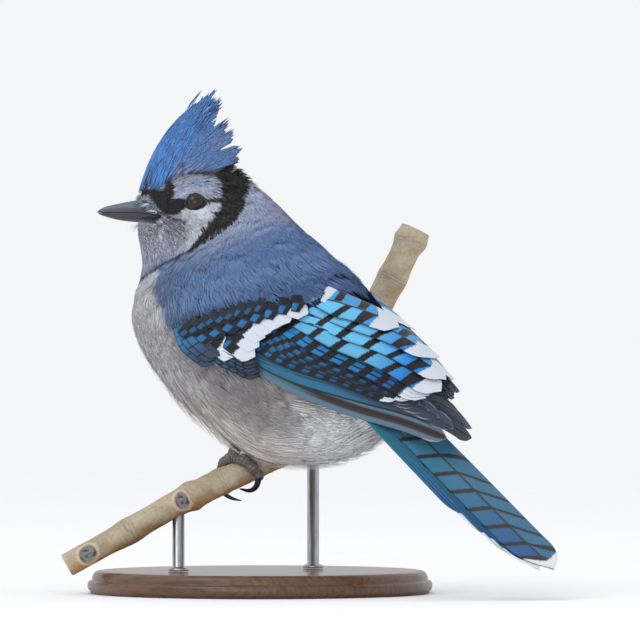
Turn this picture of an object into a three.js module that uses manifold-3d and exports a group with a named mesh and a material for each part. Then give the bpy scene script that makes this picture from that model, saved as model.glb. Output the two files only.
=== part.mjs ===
// A blue jay, life size, gripping a short cut perch that two rods hold over a round base.
// Millimetres, +Z up. The floor is Z = 0 and the origin is the centre of the base's underside.
// The bird faces -X, its left side is -Y, and its head is turned to its left.

import * as THREE from "three";
import { mergeVertices } from "three/addons/utils/BufferGeometryUtils.js";
import Module from "manifold-3d";

const wasm = await Module();
wasm.setup();

// Driving dimensions, in millimetres and degrees
const GAP = 0.3; // clearance that touching pieces keep
const VANE = 0.6; // thickness of a feather
const VANE_STEP = 0.9; // height from one feather's face to the next one's
const TRUNK_SIDES = 24;
const HEAD_TURN = 32; // how far the head looks to the bird's left
const NECK_AXIS = -22.6; // X of the upright line that the head turns about
const EYE = { x: -29.2, side: 11.1, z: 156, radius: 4.3 };
const LID = { side: 13.9, radius: 3.65, tube: 0.62 };
const BILL = { tip: -69, root: -46.5, line: 152.3, half: 4.9, high: 5.2, low: 4.1 };
const GAPE_X = -41.4;
const TAIL_LENGTH = 125;
const TAIL_TIP = [139.4, -5.6, 12.8];
const TAIL_BASE = [44, 0, 92];
const TARSUS_RADIUS = 1.7;
const TARSUS_RISE = [2.5, 0, 15]; // from the sole up into the belly
const TOE_RADIUS = 1.75;
const PERCH_SIDES = 10;
const BASE = { radius: 69, height: 9, edge: 1.5 };
const ROD_RADIUS = 2.4;

// Stations of the trunk from the bill's root to the tail's root, as the bird would be with its
// head straight. Each gives the top and the bottom of a slanted section as [X, Z] on the
// midplane, half its width, and how much slimmer it is above than below.
const TRUNK = [
  { top: [-51, 161.2], low: [-52.6, 146.8], half: 5, slim: 0.1 },
  { top: [-50.2, 165.2], low: [-52.4, 142.4], half: 7.6, slim: 0.12 },
  { top: [-46.8, 169.4], low: [-51.6, 138], half: 10.2, slim: 0.15 },
  { top: [-39.6, 172.8], low: [-51, 133.8], half: 12.4, slim: 0.15 },
  { top: [-29.4, 174.2], low: [-51, 130], half: 14, slim: 0.15 },
  { top: [-18.6, 172.4], low: [-51.6, 126.6], half: 15.4, slim: 0.15 },
  { top: [-7.5, 165.5], low: [-52.4, 123.4], half: 17.8, slim: 0.12 },
  { top: [2.5, 157], low: [-54.2, 119.5], half: 22.5, slim: 0.1 },
  { top: [13.5, 147.5], low: [-54.5, 115.5], half: 29.5, slim: 0.08 },
  { top: [26.5, 138.5], low: [-54.5, 105.5], half: 36, slim: 0.06 },
  { top: [36, 127.5], low: [-47.5, 92.5], half: 38.5, slim: 0.08 },
  { top: [43.5, 117.5], low: [-35.5, 79], half: 38.5, slim: 0.1 },
  { top: [50, 108], low: [-18, 65], half: 36, slim: 0.15 },
  { top: [55.5, 99], low: [4, 53], half: 31.5, slim: 0.2 },
  { top: [59.5, 93], low: [28, 51.5], half: 25, slim: 0.2 },
  { top: [62, 89], low: [45, 56], half: 18.5, slim: 0.15 },
  { top: [63, 86.5], low: [55, 65], half: 12, slim: 0.1 },
];
const HEAD_END = 6;
const NECK_END = 8;
const TURN_END = 9;

// Stations of the bed that the folded wings lie on, in the same form, from the shoulder to the
// wing tips, which stand free over the tail.
const BED = [
  { top: [30, 138.5], low: [-60, 108.5], half: 38, slim: 0.05 },
  { top: [40, 127.5], low: [-54.5, 92], half: 41.5, slim: 0.1 },
  { top: [49, 117.5], low: [-43, 77.5], half: 41.5, slim: 0.15 },
  { top: [58.4, 110.2], low: [-24, 64], half: 38.5, slim: 0.2 },
  { top: [69.8, 101.3], low: [0.9, 55.2], half: 33, slim: 0.3 },
  { top: [80.7, 91.2], low: [28.3, 51.2], half: 26, slim: 0.3 },
  { top: [90.1, 81], low: [56.6, 52.4], half: 19, slim: 0.3 },
  { top: [98.9, 69.2], low: [80.2, 55.2], half: 12.5, slim: 0.2 },
  { top: [106.1, 61.2], low: [99.1, 57.2], half: 8, slim: 0.2 },
];

// Groups of wing feathers. A place on the bed is [station, degrees down from the back's ridge].
// root and tip give the places for a group's lowest feather and its highest, lift the height over
// the bed at the root and along the rest, and spacing the distance between neighbours, which sets
// how they lap.
const WING_GROUPS = [
  { name: "primary", count: 6, width: 7.4, lift: [-2.4, -1.7], spacing: 2.4, long: true, ridge: false,
    root: [[2.2, 85], [2.2, 78]], tip: [[6.85, 84], [6.05, 53]], reach: 0.45 },
  { name: "secondary", count: 5, width: 9, lift: [-2, -0.2], spacing: 2.8, long: true, ridge: true,
    root: [[1.95, 76], [1.8, 54]], tip: [[5.86, 47], [5.8, 22]], reach: 0 },
  { name: "tertial", count: 3, width: 17, lift: [-1.5, 1.6], spacing: 8, long: true, ridge: true,
    root: [[1.85, 46], [1.6, 28]], tip: [[5.5, 12], [3.55, 9]], reach: 0.1 },
  { name: "greater covert", count: 6, width: 10, lift: [-2, 1.3], spacing: 5, long: false, ridge: false,
    root: [[1.35, 86], [1.5, 38]], tip: [[2.43, 81], [1.75, 27]], reach: 0.12 },
  { name: "primary covert", count: 3, width: 7.4, lift: [-2, 0.6], spacing: 3.4, long: false, ridge: false,
    root: [[1.4, 92], [1.4, 85]], tip: [[3.12, 86], [2.8, 79]], reach: 0 },
  { name: "median covert", count: 4, width: 12, lift: [-2.4, 1.7], spacing: 8, long: false, ridge: false,
    root: [[1.15, 90], [1.5, 48]], tip: [[1.85, 85], [1.75, 40]], reach: 0 },
  { name: "lesser covert", count: 4, width: 12, lift: [-3.4, 1.8], spacing: 8, long: false, ridge: false,
    root: [[0.9, 95], [1.2, 64]], tip: [[1.45, 91], [1.5, 58]], reach: 0 },
  { name: "alula", count: 2, width: 6.4, lift: [-2.4, 1.8], spacing: 3.8, long: false, ridge: false,
    root: [[0.95, 99], [0.95, 93]], tip: [[2.35, 93], [1.95, 88]], reach: 0 },
];

// Where the wing comes out from under the mantle, as [degrees, station].
const WING_FRONT = [[23, 1.5], [46, 1.6], [67, 1.2], [91, 0.95], [104, 0.85]];

// Colours, roughness and metalness
const FINISH = {
  crest: [0x3f78be, 0.75, 0],
  mantle: [0x55709f, 0.8, 0],
  wing: [0x2a86c4, 0.6, 0],
  tail: [0x3a86b8, 0.6, 0],
  bill: [0x3d434d, 0.45, 0],
  eye: [0x120d0c, 0.1, 0],
  leg: [0x4c4541, 0.6, 0],
  bark: [0xb09a74, 0.85, 0],
  wood: [0x5a4636, 0.5, 0],
  steel: [0x8f9196, 0.35, 1],
};

const vec = (x, y, z) => new THREE.Vector3(x, y, z);
const rad = THREE.MathUtils.degToRad;
const mix = THREE.MathUtils.lerp;
const clamp = THREE.MathUtils.clamp;
const ease = THREE.MathUtils.smoothstep;
const share = (index, count) => (count > 1 ? index / (count - 1) : 0);

// Solids

// A closed surface as a solid with its faces pointing out.
function solid(geometry) {
  const bare = geometry.index ? geometry.toNonIndexed() : geometry.clone();
  const merged = mergeVertices(
    new THREE.BufferGeometry().setAttribute("position", bare.getAttribute("position")),
    1e-4,
  );
  const make = (triVerts) =>
    new wasm.Manifold(
      new wasm.Mesh({ numProp: 3, vertProperties: merged.attributes.position.array, triVerts }),
    );
  const triVerts = new Uint32Array(merged.index.array);
  const made = make(triVerts);
  if (made.volume() > 0) return made;
  for (let i = 0; i < triVerts.length; i += 3)
    [triVerts[i + 1], triVerts[i + 2]] = [triVerts[i + 2], triVerts[i + 1]];
  return make(triVerts);
}

const join = (solids) => solids.reduce((whole, piece) => whole.add(piece));
const cut = (whole, cutters) => cutters.reduce((rest, cutter) => rest.subtract(cutter), whole);

// The largest closed surface of a solid.
function largest(whole) {
  return whole.decompose().sort((a, b) => b.volume() - a.volume())[0];
}

function meshOf(name, whole, finish) {
  const { numProp, numVert, vertProperties, triVerts } = largest(whole).getMesh();
  const points = new Float32Array(numVert * 3);
  for (let i = 0; i < numVert; i++)
    points.set(vertProperties.subarray(i * numProp, i * numProp + 3), i * 3);
  const geometry = new THREE.BufferGeometry()
    .setAttribute("position", new THREE.BufferAttribute(points, 3))
    .setIndex(new THREE.BufferAttribute(triVerts, 1));
  geometry.computeVertexNormals();
  const [color, roughness, metalness] = FINISH[finish];
  const material = new THREE.MeshStandardMaterial({ color, roughness, metalness, flatShading: true });
  const mesh = new THREE.Mesh(geometry, material);
  mesh.name = name;
  return mesh;
}

function geometryOf(points, faces) {
  return new THREE.BufferGeometry()
    .setAttribute("position", new THREE.Float32BufferAttribute(points.flatMap((p) => p.toArray()), 3))
    .setIndex(faces);
}

// A closed skin over rings of points, with a fan over each end.
function loft(rings) {
  const sides = rings[0].length;
  const points = rings.flat();
  const faces = [];
  for (let r = 0; r + 1 < rings.length; r++)
    for (let i = 0; i < sides; i++) {
      const a = r * sides + i;
      const b = r * sides + ((i + 1) % sides);
      faces.push(a, b, b + sides, a, b + sides, a + sides);
    }
  for (const [ring, start] of [[rings[0], 0], [rings.at(-1), (rings.length - 1) * sides]]) {
    const centre = points.length;
    points.push(ring.reduce((sum, p) => sum.add(p), vec(0, 0, 0)).divideScalar(sides));
    for (let i = 0; i < sides; i++) {
      const [a, b] = [start + i, start + ((i + 1) % sides)];
      faces.push(...(start ? [a, b, centre] : [b, a, centre]));
    }
  }
  return geometryOf(points, faces);
}

// A thin closed blade over frames along its length, split into triangles alike on both faces.
// Each frame has its middle, the directions across and out of the blade, its half width, its
// lean across, its sag towards the edges and its thickness.
function blade(frames, ridge) {
  const across = ridge ? [-1, 0, 1] : [-1, 1];
  const columns = across.length;
  const sides = columns * 2;
  const points = frames.flatMap((f) => {
    const row = (face) =>
      across.map((o) => {
        const height = f.lean * o * f.half - f.sag * (o * f.half) ** 2 + (face * f.thick) / 2;
        return f.at.clone().addScaledVector(f.across, o * f.half).addScaledVector(f.out, height);
      });
    return [...row(1), ...row(-1).reverse()];
  });
  const faces = [];
  for (let r = 0; r + 1 < frames.length; r++)
    for (let i = 0; i < sides; i++) {
      const a = r * sides + i;
      const b = r * sides + ((i + 1) % sides);
      const under = i >= columns && i < sides - 1;
      if (under) faces.push(a, b, a + sides, b, b + sides, a + sides);
      else faces.push(a, b, b + sides, a, b + sides, a + sides);
    }
  const last = (frames.length - 1) * sides;
  for (let i = 0; i + 1 < columns; i++) {
    const [a, b, c, d] = [i, i + 1, sides - 2 - i, sides - 1 - i];
    faces.push(b, a, c, a, d, c);
    faces.push(last + a, last + b, last + c, last + a, last + c, last + d);
  }
  return geometryOf(points, faces);
}

// A blade's half width along its length, as a share of its widest.
const LONG_VANE = [[0, 0.5], [0.3, 0.95], [0.7, 1], [0.92, 0.8], [1, 0.3]];
const SHORT_VANE = [[0, 0.6], [0.5, 1], [0.88, 0.85], [1, 0.35]];

function vaneThickness(along) {
  return along < 1 ? VANE : VANE * 0.7;
}

// Trunk and bed

// The station at a fractional number, by a smooth curve through its neighbours.
function stationAt(stations, place) {
  const last = stations.length - 1;
  const spot = clamp(place, 0, last);
  const i = Math.min(Math.floor(spot), last - 1);
  const near = [-1, 0, 1, 2].map((n) => stations[clamp(i + n, 0, last)]);
  const t = spot - i;
  const curve = (read) => {
    const [a, b, c, d] = near.map(read);
    return (
      b + 0.5 * t * (c - a + t * (2 * a - 5 * b + 4 * c - d + t * (3 * (b - c) + d - a)))
    );
  };
  return {
    top: [curve((s) => s.top[0]), curve((s) => s.top[1])],
    low: [curve((s) => s.low[0]), curve((s) => s.low[1])],
    half: curve((s) => s.half),
    slim: curve((s) => s.slim),
  };
}

// A point of a station's section, at an angle from its top towards the bird's left.
function sectionPoint(stations, place, angle, grow = 0) {
  const { top, low, half, slim } = stationAt(stations, place);
  const [rx, rz] = [(top[0] - low[0]) / 2, (top[1] - low[1]) / 2];
  const stretch = 1 + grow / Math.hypot(rx, rz);
  const [c, s] = [Math.cos(rad(angle)), Math.sin(rad(angle))];
  return vec(
    (top[0] + low[0]) / 2 + rx * c * stretch,
    -(half + grow) * s * (1 - slim * c),
    (top[1] + low[1]) / 2 + rz * c * stretch,
  );
}

const turnAt = (place) => HEAD_TURN * (1 - ease(place, HEAD_END, TURN_END));

// A point turned with the head about the neck's upright line.
function turned(point, degrees) {
  return point
    .sub(vec(NECK_AXIS, 0, 0))
    .applyAxisAngle(vec(0, 0, 1), rad(degrees))
    .add(vec(NECK_AXIS, 0, 0));
}

function trunkRing(place, grow) {
  return Array.from({ length: TRUNK_SIDES }, (_, i) =>
    turned(sectionPoint(TRUNK, place, (360 * i) / TRUNK_SIDES, grow), turnAt(place)),
  );
}

// The trunk between two stations, grown by a clearance where it is used as a cutter.
function trunkPiece(from, to, steps, grow = 0) {
  const rings = Array.from({ length: steps + 1 }, (_, i) =>
    trunkRing(mix(from, to, i / steps), grow),
  );
  return solid(loft(rings));
}

// How far the trunk's skin stands out to the side at a point of the straight head's profile.
function headSide(x, z) {
  let [near, far] = [0, HEAD_END + 1];
  const beyond = (place) => {
    const { top, low } = stationAt(TRUNK, place);
    return (x - low[0]) * (top[1] - low[1]) - (z - low[1]) * (top[0] - low[0]) > 0;
  };
  for (let i = 0; i < 24; i++) {
    const middle = (near + far) / 2;
    if (beyond(middle)) near = middle;
    else far = middle;
  }
  const { top, low, half, slim } = stationAt(TRUNK, near);
  const cosine = clamp((2 * (z - low[1])) / (top[1] - low[1]) - 1, -1, 1);
  return half * Math.sqrt(1 - cosine * cosine) * (1 - slim * cosine);
}

// Wings

// The middle and the directions of the bed of the left wing at a place on it.
function bedFrame(station, angle, ahead) {
  const at = sectionPoint(BED, station, angle);
  const along = sectionPoint(BED, station + ahead.station, angle + ahead.angle).sub(at).normalize();
  const across = sectionPoint(BED, station, angle + 1).sub(at);
  across.addScaledVector(along, -across.dot(along)).normalize();
  const out = across.clone().cross(along).normalize();
  return { at, across, out, bend: stationAt(BED, station).half };
}

function wingVane(group, index) {
  const t = share(index, group.count);
  const [rootLow, rootHigh] = group.root;
  const [tipLow, tipHigh] = group.tip;
  const root = [mix(rootLow[0], rootHigh[0], t), mix(rootLow[1], rootHigh[1], t)];
  const swell = group.reach * Math.sin(Math.PI * t);
  const tip = [mix(tipLow[0], tipHigh[0], t) + swell, mix(tipLow[1], tipHigh[1], t)];
  const ahead = { station: (tip[0] - root[0]) / 50, angle: (tip[1] - root[1]) / 50 };
  const frames = (group.long ? LONG_VANE : SHORT_VANE).map(([along, wide]) => {
    const frame = bedFrame(mix(root[0], tip[0], along), mix(root[1], tip[1], along), ahead);
    frame.at.addScaledVector(frame.out, mix(...group.lift, ease(along, 0, group.long ? 0.3 : 0.5)));
    return {
      ...frame,
      half: (group.width / 2) * wide,
      lean: VANE_STEP / group.spacing,
      sag: 0.5 / frame.bend,
      thick: vaneThickness(along),
    };
  });
  return solid(blade(frames, group.ridge));
}

// A value read between the points of a rising table.
function between(table, at) {
  const next = Math.max(table.findIndex(([x]) => x >= at), 1);
  const [[x0, y0], [x1, y1]] = [table[next - 1], table[next]];
  return mix(y0, y1, clamp((at - x0) / (x1 - x0), 0, 1));
}

// The arm under the coverts, a thick patch of the bed that every feather is rooted in.
function wingArm() {
  const [columns, rows] = [8, 3];
  const [top, low] = [26, 101];
  const long = 1.1;
  const column = (c, face) =>
    Array.from({ length: rows + 1 }, (_, r) => {
      const angle = mix(top, low, c / columns);
      const station = between(WING_FRONT, angle) + (r / rows) * long;
      const frame = bedFrame(station, angle, { station: 0.02, angle: -0.1 });
      const inside = Math.min(1, 3 * Math.min(r / rows, 1.1 - c / columns));
      return frame.at.addScaledVector(frame.out, face === "over" ? mix(-2.6, -0.3, inside) : -7);
    });
  const rings = Array.from({ length: columns + 1 }, (_, c) => [
    ...column(c, "over"),
    ...column(c, "under").reverse(),
  ]);
  return solid(loft(rings));
}

function mirrored(whole) {
  return whole.mirror([0, 1, 0]);
}

function box(x, y, z, at) {
  return solid(new THREE.BoxGeometry(x, y, z).translate(...at));
}

function leftWing(cutters) {
  const vanes = WING_GROUPS.flatMap((group) =>
    Array.from({ length: group.count }, (_, i) => wingVane(group, i)),
  );
  const farSide = box(300, 100, 300, [0, 50 - GAP / 2, 100]);
  return cut(join([wingArm(), ...vanes]), [...cutters, farSide]);
}

// Head

// The upper or the lower half of the bill, in the straight head's frame. grow makes the socket.
function billHalf(part, grow = 0) {
  const steps = 8;
  const upper = part === "upper";
  const rings = Array.from({ length: steps + 1 }, (_, i) => {
    const t = i / steps;
    const x = mix(BILL.root + grow, BILL.tip + (upper ? 0 : 0.8), t);
    const taper = Math.sqrt(Math.max(1 - t ** 1.6, 0));
    const line = BILL.line - 0.5 * (1 - t) ** 2;
    const half = BILL.half * mix(1 - t, taper, 0.35) + 0.25 + grow;
    const tall = (upper ? BILL.high : BILL.low) * mix(1 - t, taper, 0.8) + 0.3 + 2 * grow;
    return Array.from({ length: 12 }, (_, k) => {
      const angle = Math.PI * (k / 11);
      const gap = GAP / 2 - grow;
      const height = gap + tall * Math.sin(angle);
      return vec(x, half * Math.cos(angle), line + (upper ? height : -height));
    });
  });
  return loft(rings);
}

// The crest's feathers stand in rows over the crown: one on each side that faces out, lapped by the
// shorter ones before it, and in some rows one in the middle that faces forward. A row gives its
// root and its tip as [X, Z] on the midplane, and how far it bows forward.
const CREST_ROWS = [
  { root: [-48.5, 163], tip: [-45.6, 177.5], bow: 0.8 },
  { root: [-46.5, 166.5], tip: [-41.2, 184.5], bow: 1.4 },
  { root: [-43.5, 168.5], tip: [-35.4, 191.2], bow: 1.8 },
  { root: [-39.5, 170], tip: [-29, 197], bow: 1.8 },
  { root: [-35, 171], tip: [-23.6, 199.8], bow: 1.4 },
  { root: [-30, 171.5], tip: [-19.6, 195], bow: 0.8 },
  { root: [-24.5, 171], tip: [-16, 188.5], bow: 0.4 },
  { root: [-18.5, 169.5], tip: [-13.2, 181], bow: 0 },
];
const CREST_MIDDLES = [0, 2, 4, 6, 7];
const CREST_ROLL = 76;

function crestVane(row, side) {
  const root = vec(row.root[0], 0, row.root[1]);
  const tip = vec(row.tip[0], 0, row.tip[1]);
  const ahead = tip.clone().sub(root).normalize();
  const forward = vec(-ahead.z, 0, ahead.x);
  const roll = rad(side * CREST_ROLL);
  const out = forward.clone().multiplyScalar(Math.cos(roll)).add(vec(0, -Math.sin(roll), 0));
  const across = ahead.clone().cross(out).normalize();
  const frames = [[0, 0.9], [0.4, 1], [0.8, 0.72], [1, 0.2]].map(([t, wide]) => {
    const apart = mix(5.6, 1.1, t ** 0.8);
    const at = root.clone().lerp(tip, t);
    at.addScaledVector(forward, row.bow * Math.sin(Math.PI * t) - Math.abs(side) * mix(3.6, 0.6, t));
    at.y -= side * apart;
    const half = side ? 4.4 * wide : Math.min(3.4 * wide, apart - 0.8);
    return { at, across, out, half, lean: 0.2 * side, sag: 0.02, thick: vaneThickness(t) };
  });
  return solid(blade(frames, false));
}

// Stiff bristles that sweep forward from the face over the root of the bill.
function bristle(side, index) {
  const z = BILL.line + 2.4 + index * 2.6;
  const root = vec(-45.5, side * (headSide(-45.5, z) - 0.6), z + 0.5);
  const tip = vec(-54.5 - index * 0.3, side * (5.6 - index * 0.8), z + 0.8 + index * 0.2);
  const ahead = tip.clone().sub(root).normalize();
  const out = vec(0, side, 0.25 * index).addScaledVector(ahead, -side * ahead.y).normalize();
  const across = ahead.clone().cross(out).normalize();
  const frames = [[0, 0.8], [0.5, 1], [1, 0.25]].map(([t, wide]) => ({
    at: root.clone().lerp(tip, t),
    across,
    out,
    half: 1.1 * wide,
    lean: 0,
    sag: 0,
    thick: VANE,
  }));
  return solid(blade(frames, false));
}

function ellipsoid(radii, at, detail = 12) {
  return solid(new THREE.SphereGeometry(1, detail, detail / 2).scale(...radii).translate(...at));
}

function head() {
  const steps = 13;
  const rings = Array.from({ length: steps + 1 }, (_, i) => {
    const place = (i / steps) * HEAD_END;
    return Array.from({ length: TRUNK_SIDES }, (_, k) =>
      sectionPoint(TRUNK, place, (360 * k) / TRUNK_SIDES),
    );
  });
  const crest = CREST_ROWS.flatMap((row, i) => {
    const sides = CREST_MIDDLES.includes(i) ? [-1, 0, 1] : [-1, 1];
    return sides.map((side) => crestVane(row, side));
  });
  const bristles = [-1, 1].flatMap((side) => [0, 1].map((index) => bristle(side, index)));
  const lids = [-1, 1].map((side) =>
    solid(
      new THREE.TorusGeometry(LID.radius, LID.tube, 5, 14)
        .rotateX(rad(90))
        .translate(EYE.x, side * LID.side, EYE.z),
    ),
  );
  const sockets = [-1, 1].map((side) => {
    const radius = EYE.radius + GAP;
    return ellipsoid([radius, radius, radius], [EYE.x, side * EYE.side, EYE.z], 14);
  });
  const nostrils = [-1, 1].map((side) => ellipsoid([1.1, 1.2, 0.7], [-53, side * 4, 155.6], 8));
  const mouth = [-1, 1].map((side) => {
    const depth = headSide((BILL.root + GAPE_X) / 2, BILL.line) - 0.6;
    const length = GAPE_X - BILL.root + 1;
    return box(length, 3, 0.6, [(BILL.root + GAPE_X) / 2, side * (depth + 1.5), BILL.line - 0.7]);
  });
  const billSockets = ["upper", "lower"].map((part) => solid(billHalf(part, GAP)));
  return cut(join([solid(loft(rings)), ...crest, ...lids, ...bristles]), [
    ...sockets,
    ...mouth,
    ...billSockets,
    ...nostrils,
  ]);
}

// Tail

const tailBase = vec(...TAIL_BASE);
const tailAlong = vec(...TAIL_TIP).sub(tailBase).normalize();
const tailAcross = vec(0, -1, 0).addScaledVector(tailAlong, tailAlong.y).normalize();
const tailOut = tailAcross.clone().cross(tailAlong).normalize();

const tailPoint = (along, across, out) =>
  tailBase
    .clone()
    .addScaledVector(tailAlong, along)
    .addScaledVector(tailAcross, across)
    .addScaledVector(tailOut, out);

// How much shorter each tail feather is than the central pair, and where its middle lies and how
// wide it is at its tip.
const RECTRICES = [
  { short: 0, middle: 5.6, half: 7.8 },
  { short: 1.5, middle: 7.9, half: 7.4 },
  { short: 4, middle: 9.8, half: 7 },
  { short: 8, middle: 11.5, half: 6.3 },
  { short: 13, middle: 13, half: 5.4 },
  { short: 19, middle: 14, half: 4.7 },
];
const TAIL_SHAPE = [[0.12, 0.32], [0.35, 0.62], [0.65, 0.9], [0.9, 1], [0.975, 0.8], [1, 0.35]];

function rectrix(side, index) {
  const { short, middle, half } = RECTRICES[index];
  const layer = index === 0 ? (side > 0 ? 0 : 1) : index + 1;
  const length = TAIL_LENGTH - short;
  const frames = TAIL_SHAPE.map(([along, wide]) => ({
    at: tailPoint(along * length, side * mix(1.6, middle, along ** 0.8), -layer * VANE_STEP),
    across: tailAcross,
    out: tailOut,
    half: Math.min(half * wide, index ? mix(1.6, middle, along ** 0.8) - 0.4 : half),
    lean: 0,
    sag: 0,
    thick: vaneThickness(along),
  }));
  return solid(blade(frames, true));
}

// The fleshy root that the tail's feathers and coverts stand in.
function tailRoot() {
  const rings = [[8, 9, 7.5], [24, 8.4, 6], [38, 7.4, 4], [46, 6, 2.6]].map(([along, wide, tall]) =>
    Array.from({ length: 14 }, (_, i) => {
      const angle = (2 * Math.PI * i) / 14;
      return tailPoint(along, wide * Math.cos(angle), tall * Math.sin(angle) - 2.6);
    }),
  );
  return solid(loft(rings));
}

function tailCovert(face, index, count) {
  const place = mix(-1, 1, share(index, count));
  const over = face === "over";
  const reach = (over ? 58 : 50) - 9 * place * place;
  const drop = over ? [2.2, 1.3] : [-9.5, -9.5];
  const frames = [[0, 0.6], [0.4, 1], [0.8, 0.9], [1, 0.3]].map(([t, wide]) => ({
    at: tailPoint(
      mix(20, reach, t),
      place * mix(5, over ? 9 : 12, t),
      mix(drop[0], drop[1], t) + (over ? -1 : 1) * 1.2 * Math.abs(place),
    ),
    across: tailAcross,
    out: tailOut,
    half: 4.2 * wide,
    lean: 0.12 * place * (over ? -1 : 1),
    sag: 0.01,
    thick: VANE,
  }));
  return solid(blade(frames, false));
}

function tail(cutters) {
  const feathers = [-1, 1].flatMap((side) => RECTRICES.map((_, index) => rectrix(side, index)));
  const coverts = ["over", "under"].flatMap((face) =>
    Array.from({ length: 5 }, (_, index) => tailCovert(face, index, 5)),
  );
  return cut(join([tailRoot(), ...feathers, ...coverts]), cutters);
}

// Perch

// The perch's middle line, from its lower cut end past both feet to its upper one.
const PERCH_LINE = new THREE.CatmullRomCurve3([
  vec(-57.2, -53.4, 11.4),
  vec(-38.4, -40.5, 24.2),
  vec(-19.2, -27.3, 37.2),
  vec(-10.2, -19.9, 43),
  vec(-2.7, -12.3, 47.6),
  vec(0.7, 0.4, 52.4),
  vec(3.2, 13.8, 57),
  vec(3.6, 30.5, 67.2),
  vec(4.4, 48.1, 84.6),
  vec(11.2, 55.6, 100.4),
  vec(18.8, 61.3, 117.2),
  vec(25.4, 66.6, 133.2),
  vec(29.9, 70.6, 146),
], false, "centripetal");
const FOOT_ROOM = 13; // how far the hollow round a foot reaches along the perch
const LEFT_FOOT = 4 / 12;
const RIGHT_FOOT = 6 / 12;
const PERCH_STEPS = 26;
const PERCH_ENDS = [4.7, 6];
// Swollen rings where side twigs and bud scars were, as [share of the points, extra radius]
const PERCH_KNOTS = [[0.09, 0.7], [0.19, 0.9], [0.28, 0.3], [0.8, 0.6], [0.88, 0.5], [0.97, 1.1]];

function perchRadius(u) {
  const swell = PERCH_KNOTS.reduce((sum, [at, extra]) => {
    return sum + extra * Math.exp(-(((u - at) / 0.018) ** 2));
  }, 0);
  return mix(PERCH_ENDS[0], PERCH_ENDS[1], u ** 0.7) + swell;
}

function perchLimb(grow = 0) {
  const frames = PERCH_LINE.computeFrenetFrames(PERCH_STEPS, false);
  const rings = frames.normals.map((normal, i) => {
    const u = i / PERCH_STEPS;
    const centre = PERCH_LINE.getPoint(u);
    return Array.from({ length: PERCH_SIDES }, (_, k) => {
      const angle = (2 * Math.PI * k) / PERCH_SIDES;
      const radius = perchRadius(u) + grow;
      return centre
        .clone()
        .addScaledVector(normal, radius * Math.cos(angle))
        .addScaledVector(frames.binormals[i], radius * Math.sin(angle));
    });
  });
  return solid(loft(rings));
}

// The perch with two oval bud scars on its near side, at shares of its line.
const BUD_SCARS = [0.06, 0.24];
const SCAR_SIDE = vec(0.53, -0.848, 0);

function perch() {
  const scars = BUD_SCARS.map((u) => {
    const at = PERCH_LINE.getPoint(u).addScaledVector(SCAR_SIDE, perchRadius(u) + 0.5);
    return ellipsoid([2.4, 1.5, 1.7], at.toArray(), 8);
  });
  return cut(perchLimb(), scars);
}

// Legs

// A round, tapering limb along points, with a radius at each.
function limb(points, radii, sides = 8) {
  let normal = vec(0, 0, 1);
  const rings = points.map((point, i) => {
    const next = points[Math.min(i + 1, points.length - 1)];
    const before = points[Math.max(i - 1, 0)];
    const along = next.clone().sub(before).normalize();
    const pick = i === 0 && Math.abs(along.z) > 0.9 ? vec(1, 0, 0) : normal;
    normal = pick.clone().addScaledVector(along, -pick.dot(along)).normalize();
    const other = along.clone().cross(normal);
    return Array.from({ length: sides }, (_, k) => {
      const angle = (2 * Math.PI * k) / sides;
      return point
        .clone()
        .addScaledVector(normal, radii[i] * Math.cos(angle))
        .addScaledVector(other, radii[i] * Math.sin(angle));
    });
  });
  return solid(loft(rings));
}

// The toes of a foot: how far each reaches round the perch in degrees, forward positive, how far
// it drifts along the perch, and its thickness against the middle toe's.
const TOES = [
  { reach: 168, drift: 0.5, thick: 1 },
  { reach: 150, drift: 6.5, thick: 0.9 },
  { reach: 146, drift: -6.5, thick: 0.9 },
  { reach: -162, drift: 2.4, thick: 1.15 },
];

function toe(foot, { reach, drift, thick }) {
  const steps = 7;
  const clawFrom = 0.7;
  const points = [];
  const radii = [];
  for (let i = 0; i <= steps; i++) {
    const t = i / steps;
    const claw = clamp((t - clawFrom) / (1 - clawFrom), 0, 1);
    const knuckle = 1 + 0.12 * Math.cos(2 * Math.PI * 3 * t);
    const radius = claw > 0 ? TOE_RADIUS * thick * mix(0.75, 0.12, claw) : TOE_RADIUS * thick * knuckle;
    const angle = rad(reach * t);
    const away = foot.radius + GAP + Math.max(radius, 0.5) + 0.9 * Math.sin(Math.PI * claw);
    points.push(
      foot.centre
        .clone()
        .addScaledVector(foot.along, drift * t)
        .addScaledVector(foot.up, away * Math.cos(angle))
        .addScaledVector(foot.front, away * Math.sin(angle)),
    );
    radii.push(Math.max(radius, 0.22));
  }
  return limb(points, radii, 6);
}

// The perch's middle and radius at a foot, and the directions along, before and above it.
function footFrame(u) {
  const along = PERCH_LINE.getTangent(u);
  const front = vec(-1, 0, 0).addScaledVector(along, along.x).normalize();
  const up = along.clone().cross(front).normalize();
  if (up.z < 0) up.negate();
  return { centre: PERCH_LINE.getPoint(u), along, front, up, radius: perchRadius(u) };
}

// The hollow that the belly leaves round a foot.
function footRoom(u, grow = 0) {
  const { centre, along, radius } = footFrame(u);
  const wide = radius + 2 * TOE_RADIUS + 2.2 + grow;
  const turn = new THREE.Quaternion().setFromUnitVectors(vec(0, 0, 1), along);
  const shape = new THREE.SphereGeometry(1, 14, 10)
    .scale(wide, wide, FOOT_ROOM + grow)
    .applyQuaternion(turn)
    .translate(...centre.toArray());
  return solid(shape);
}

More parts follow.
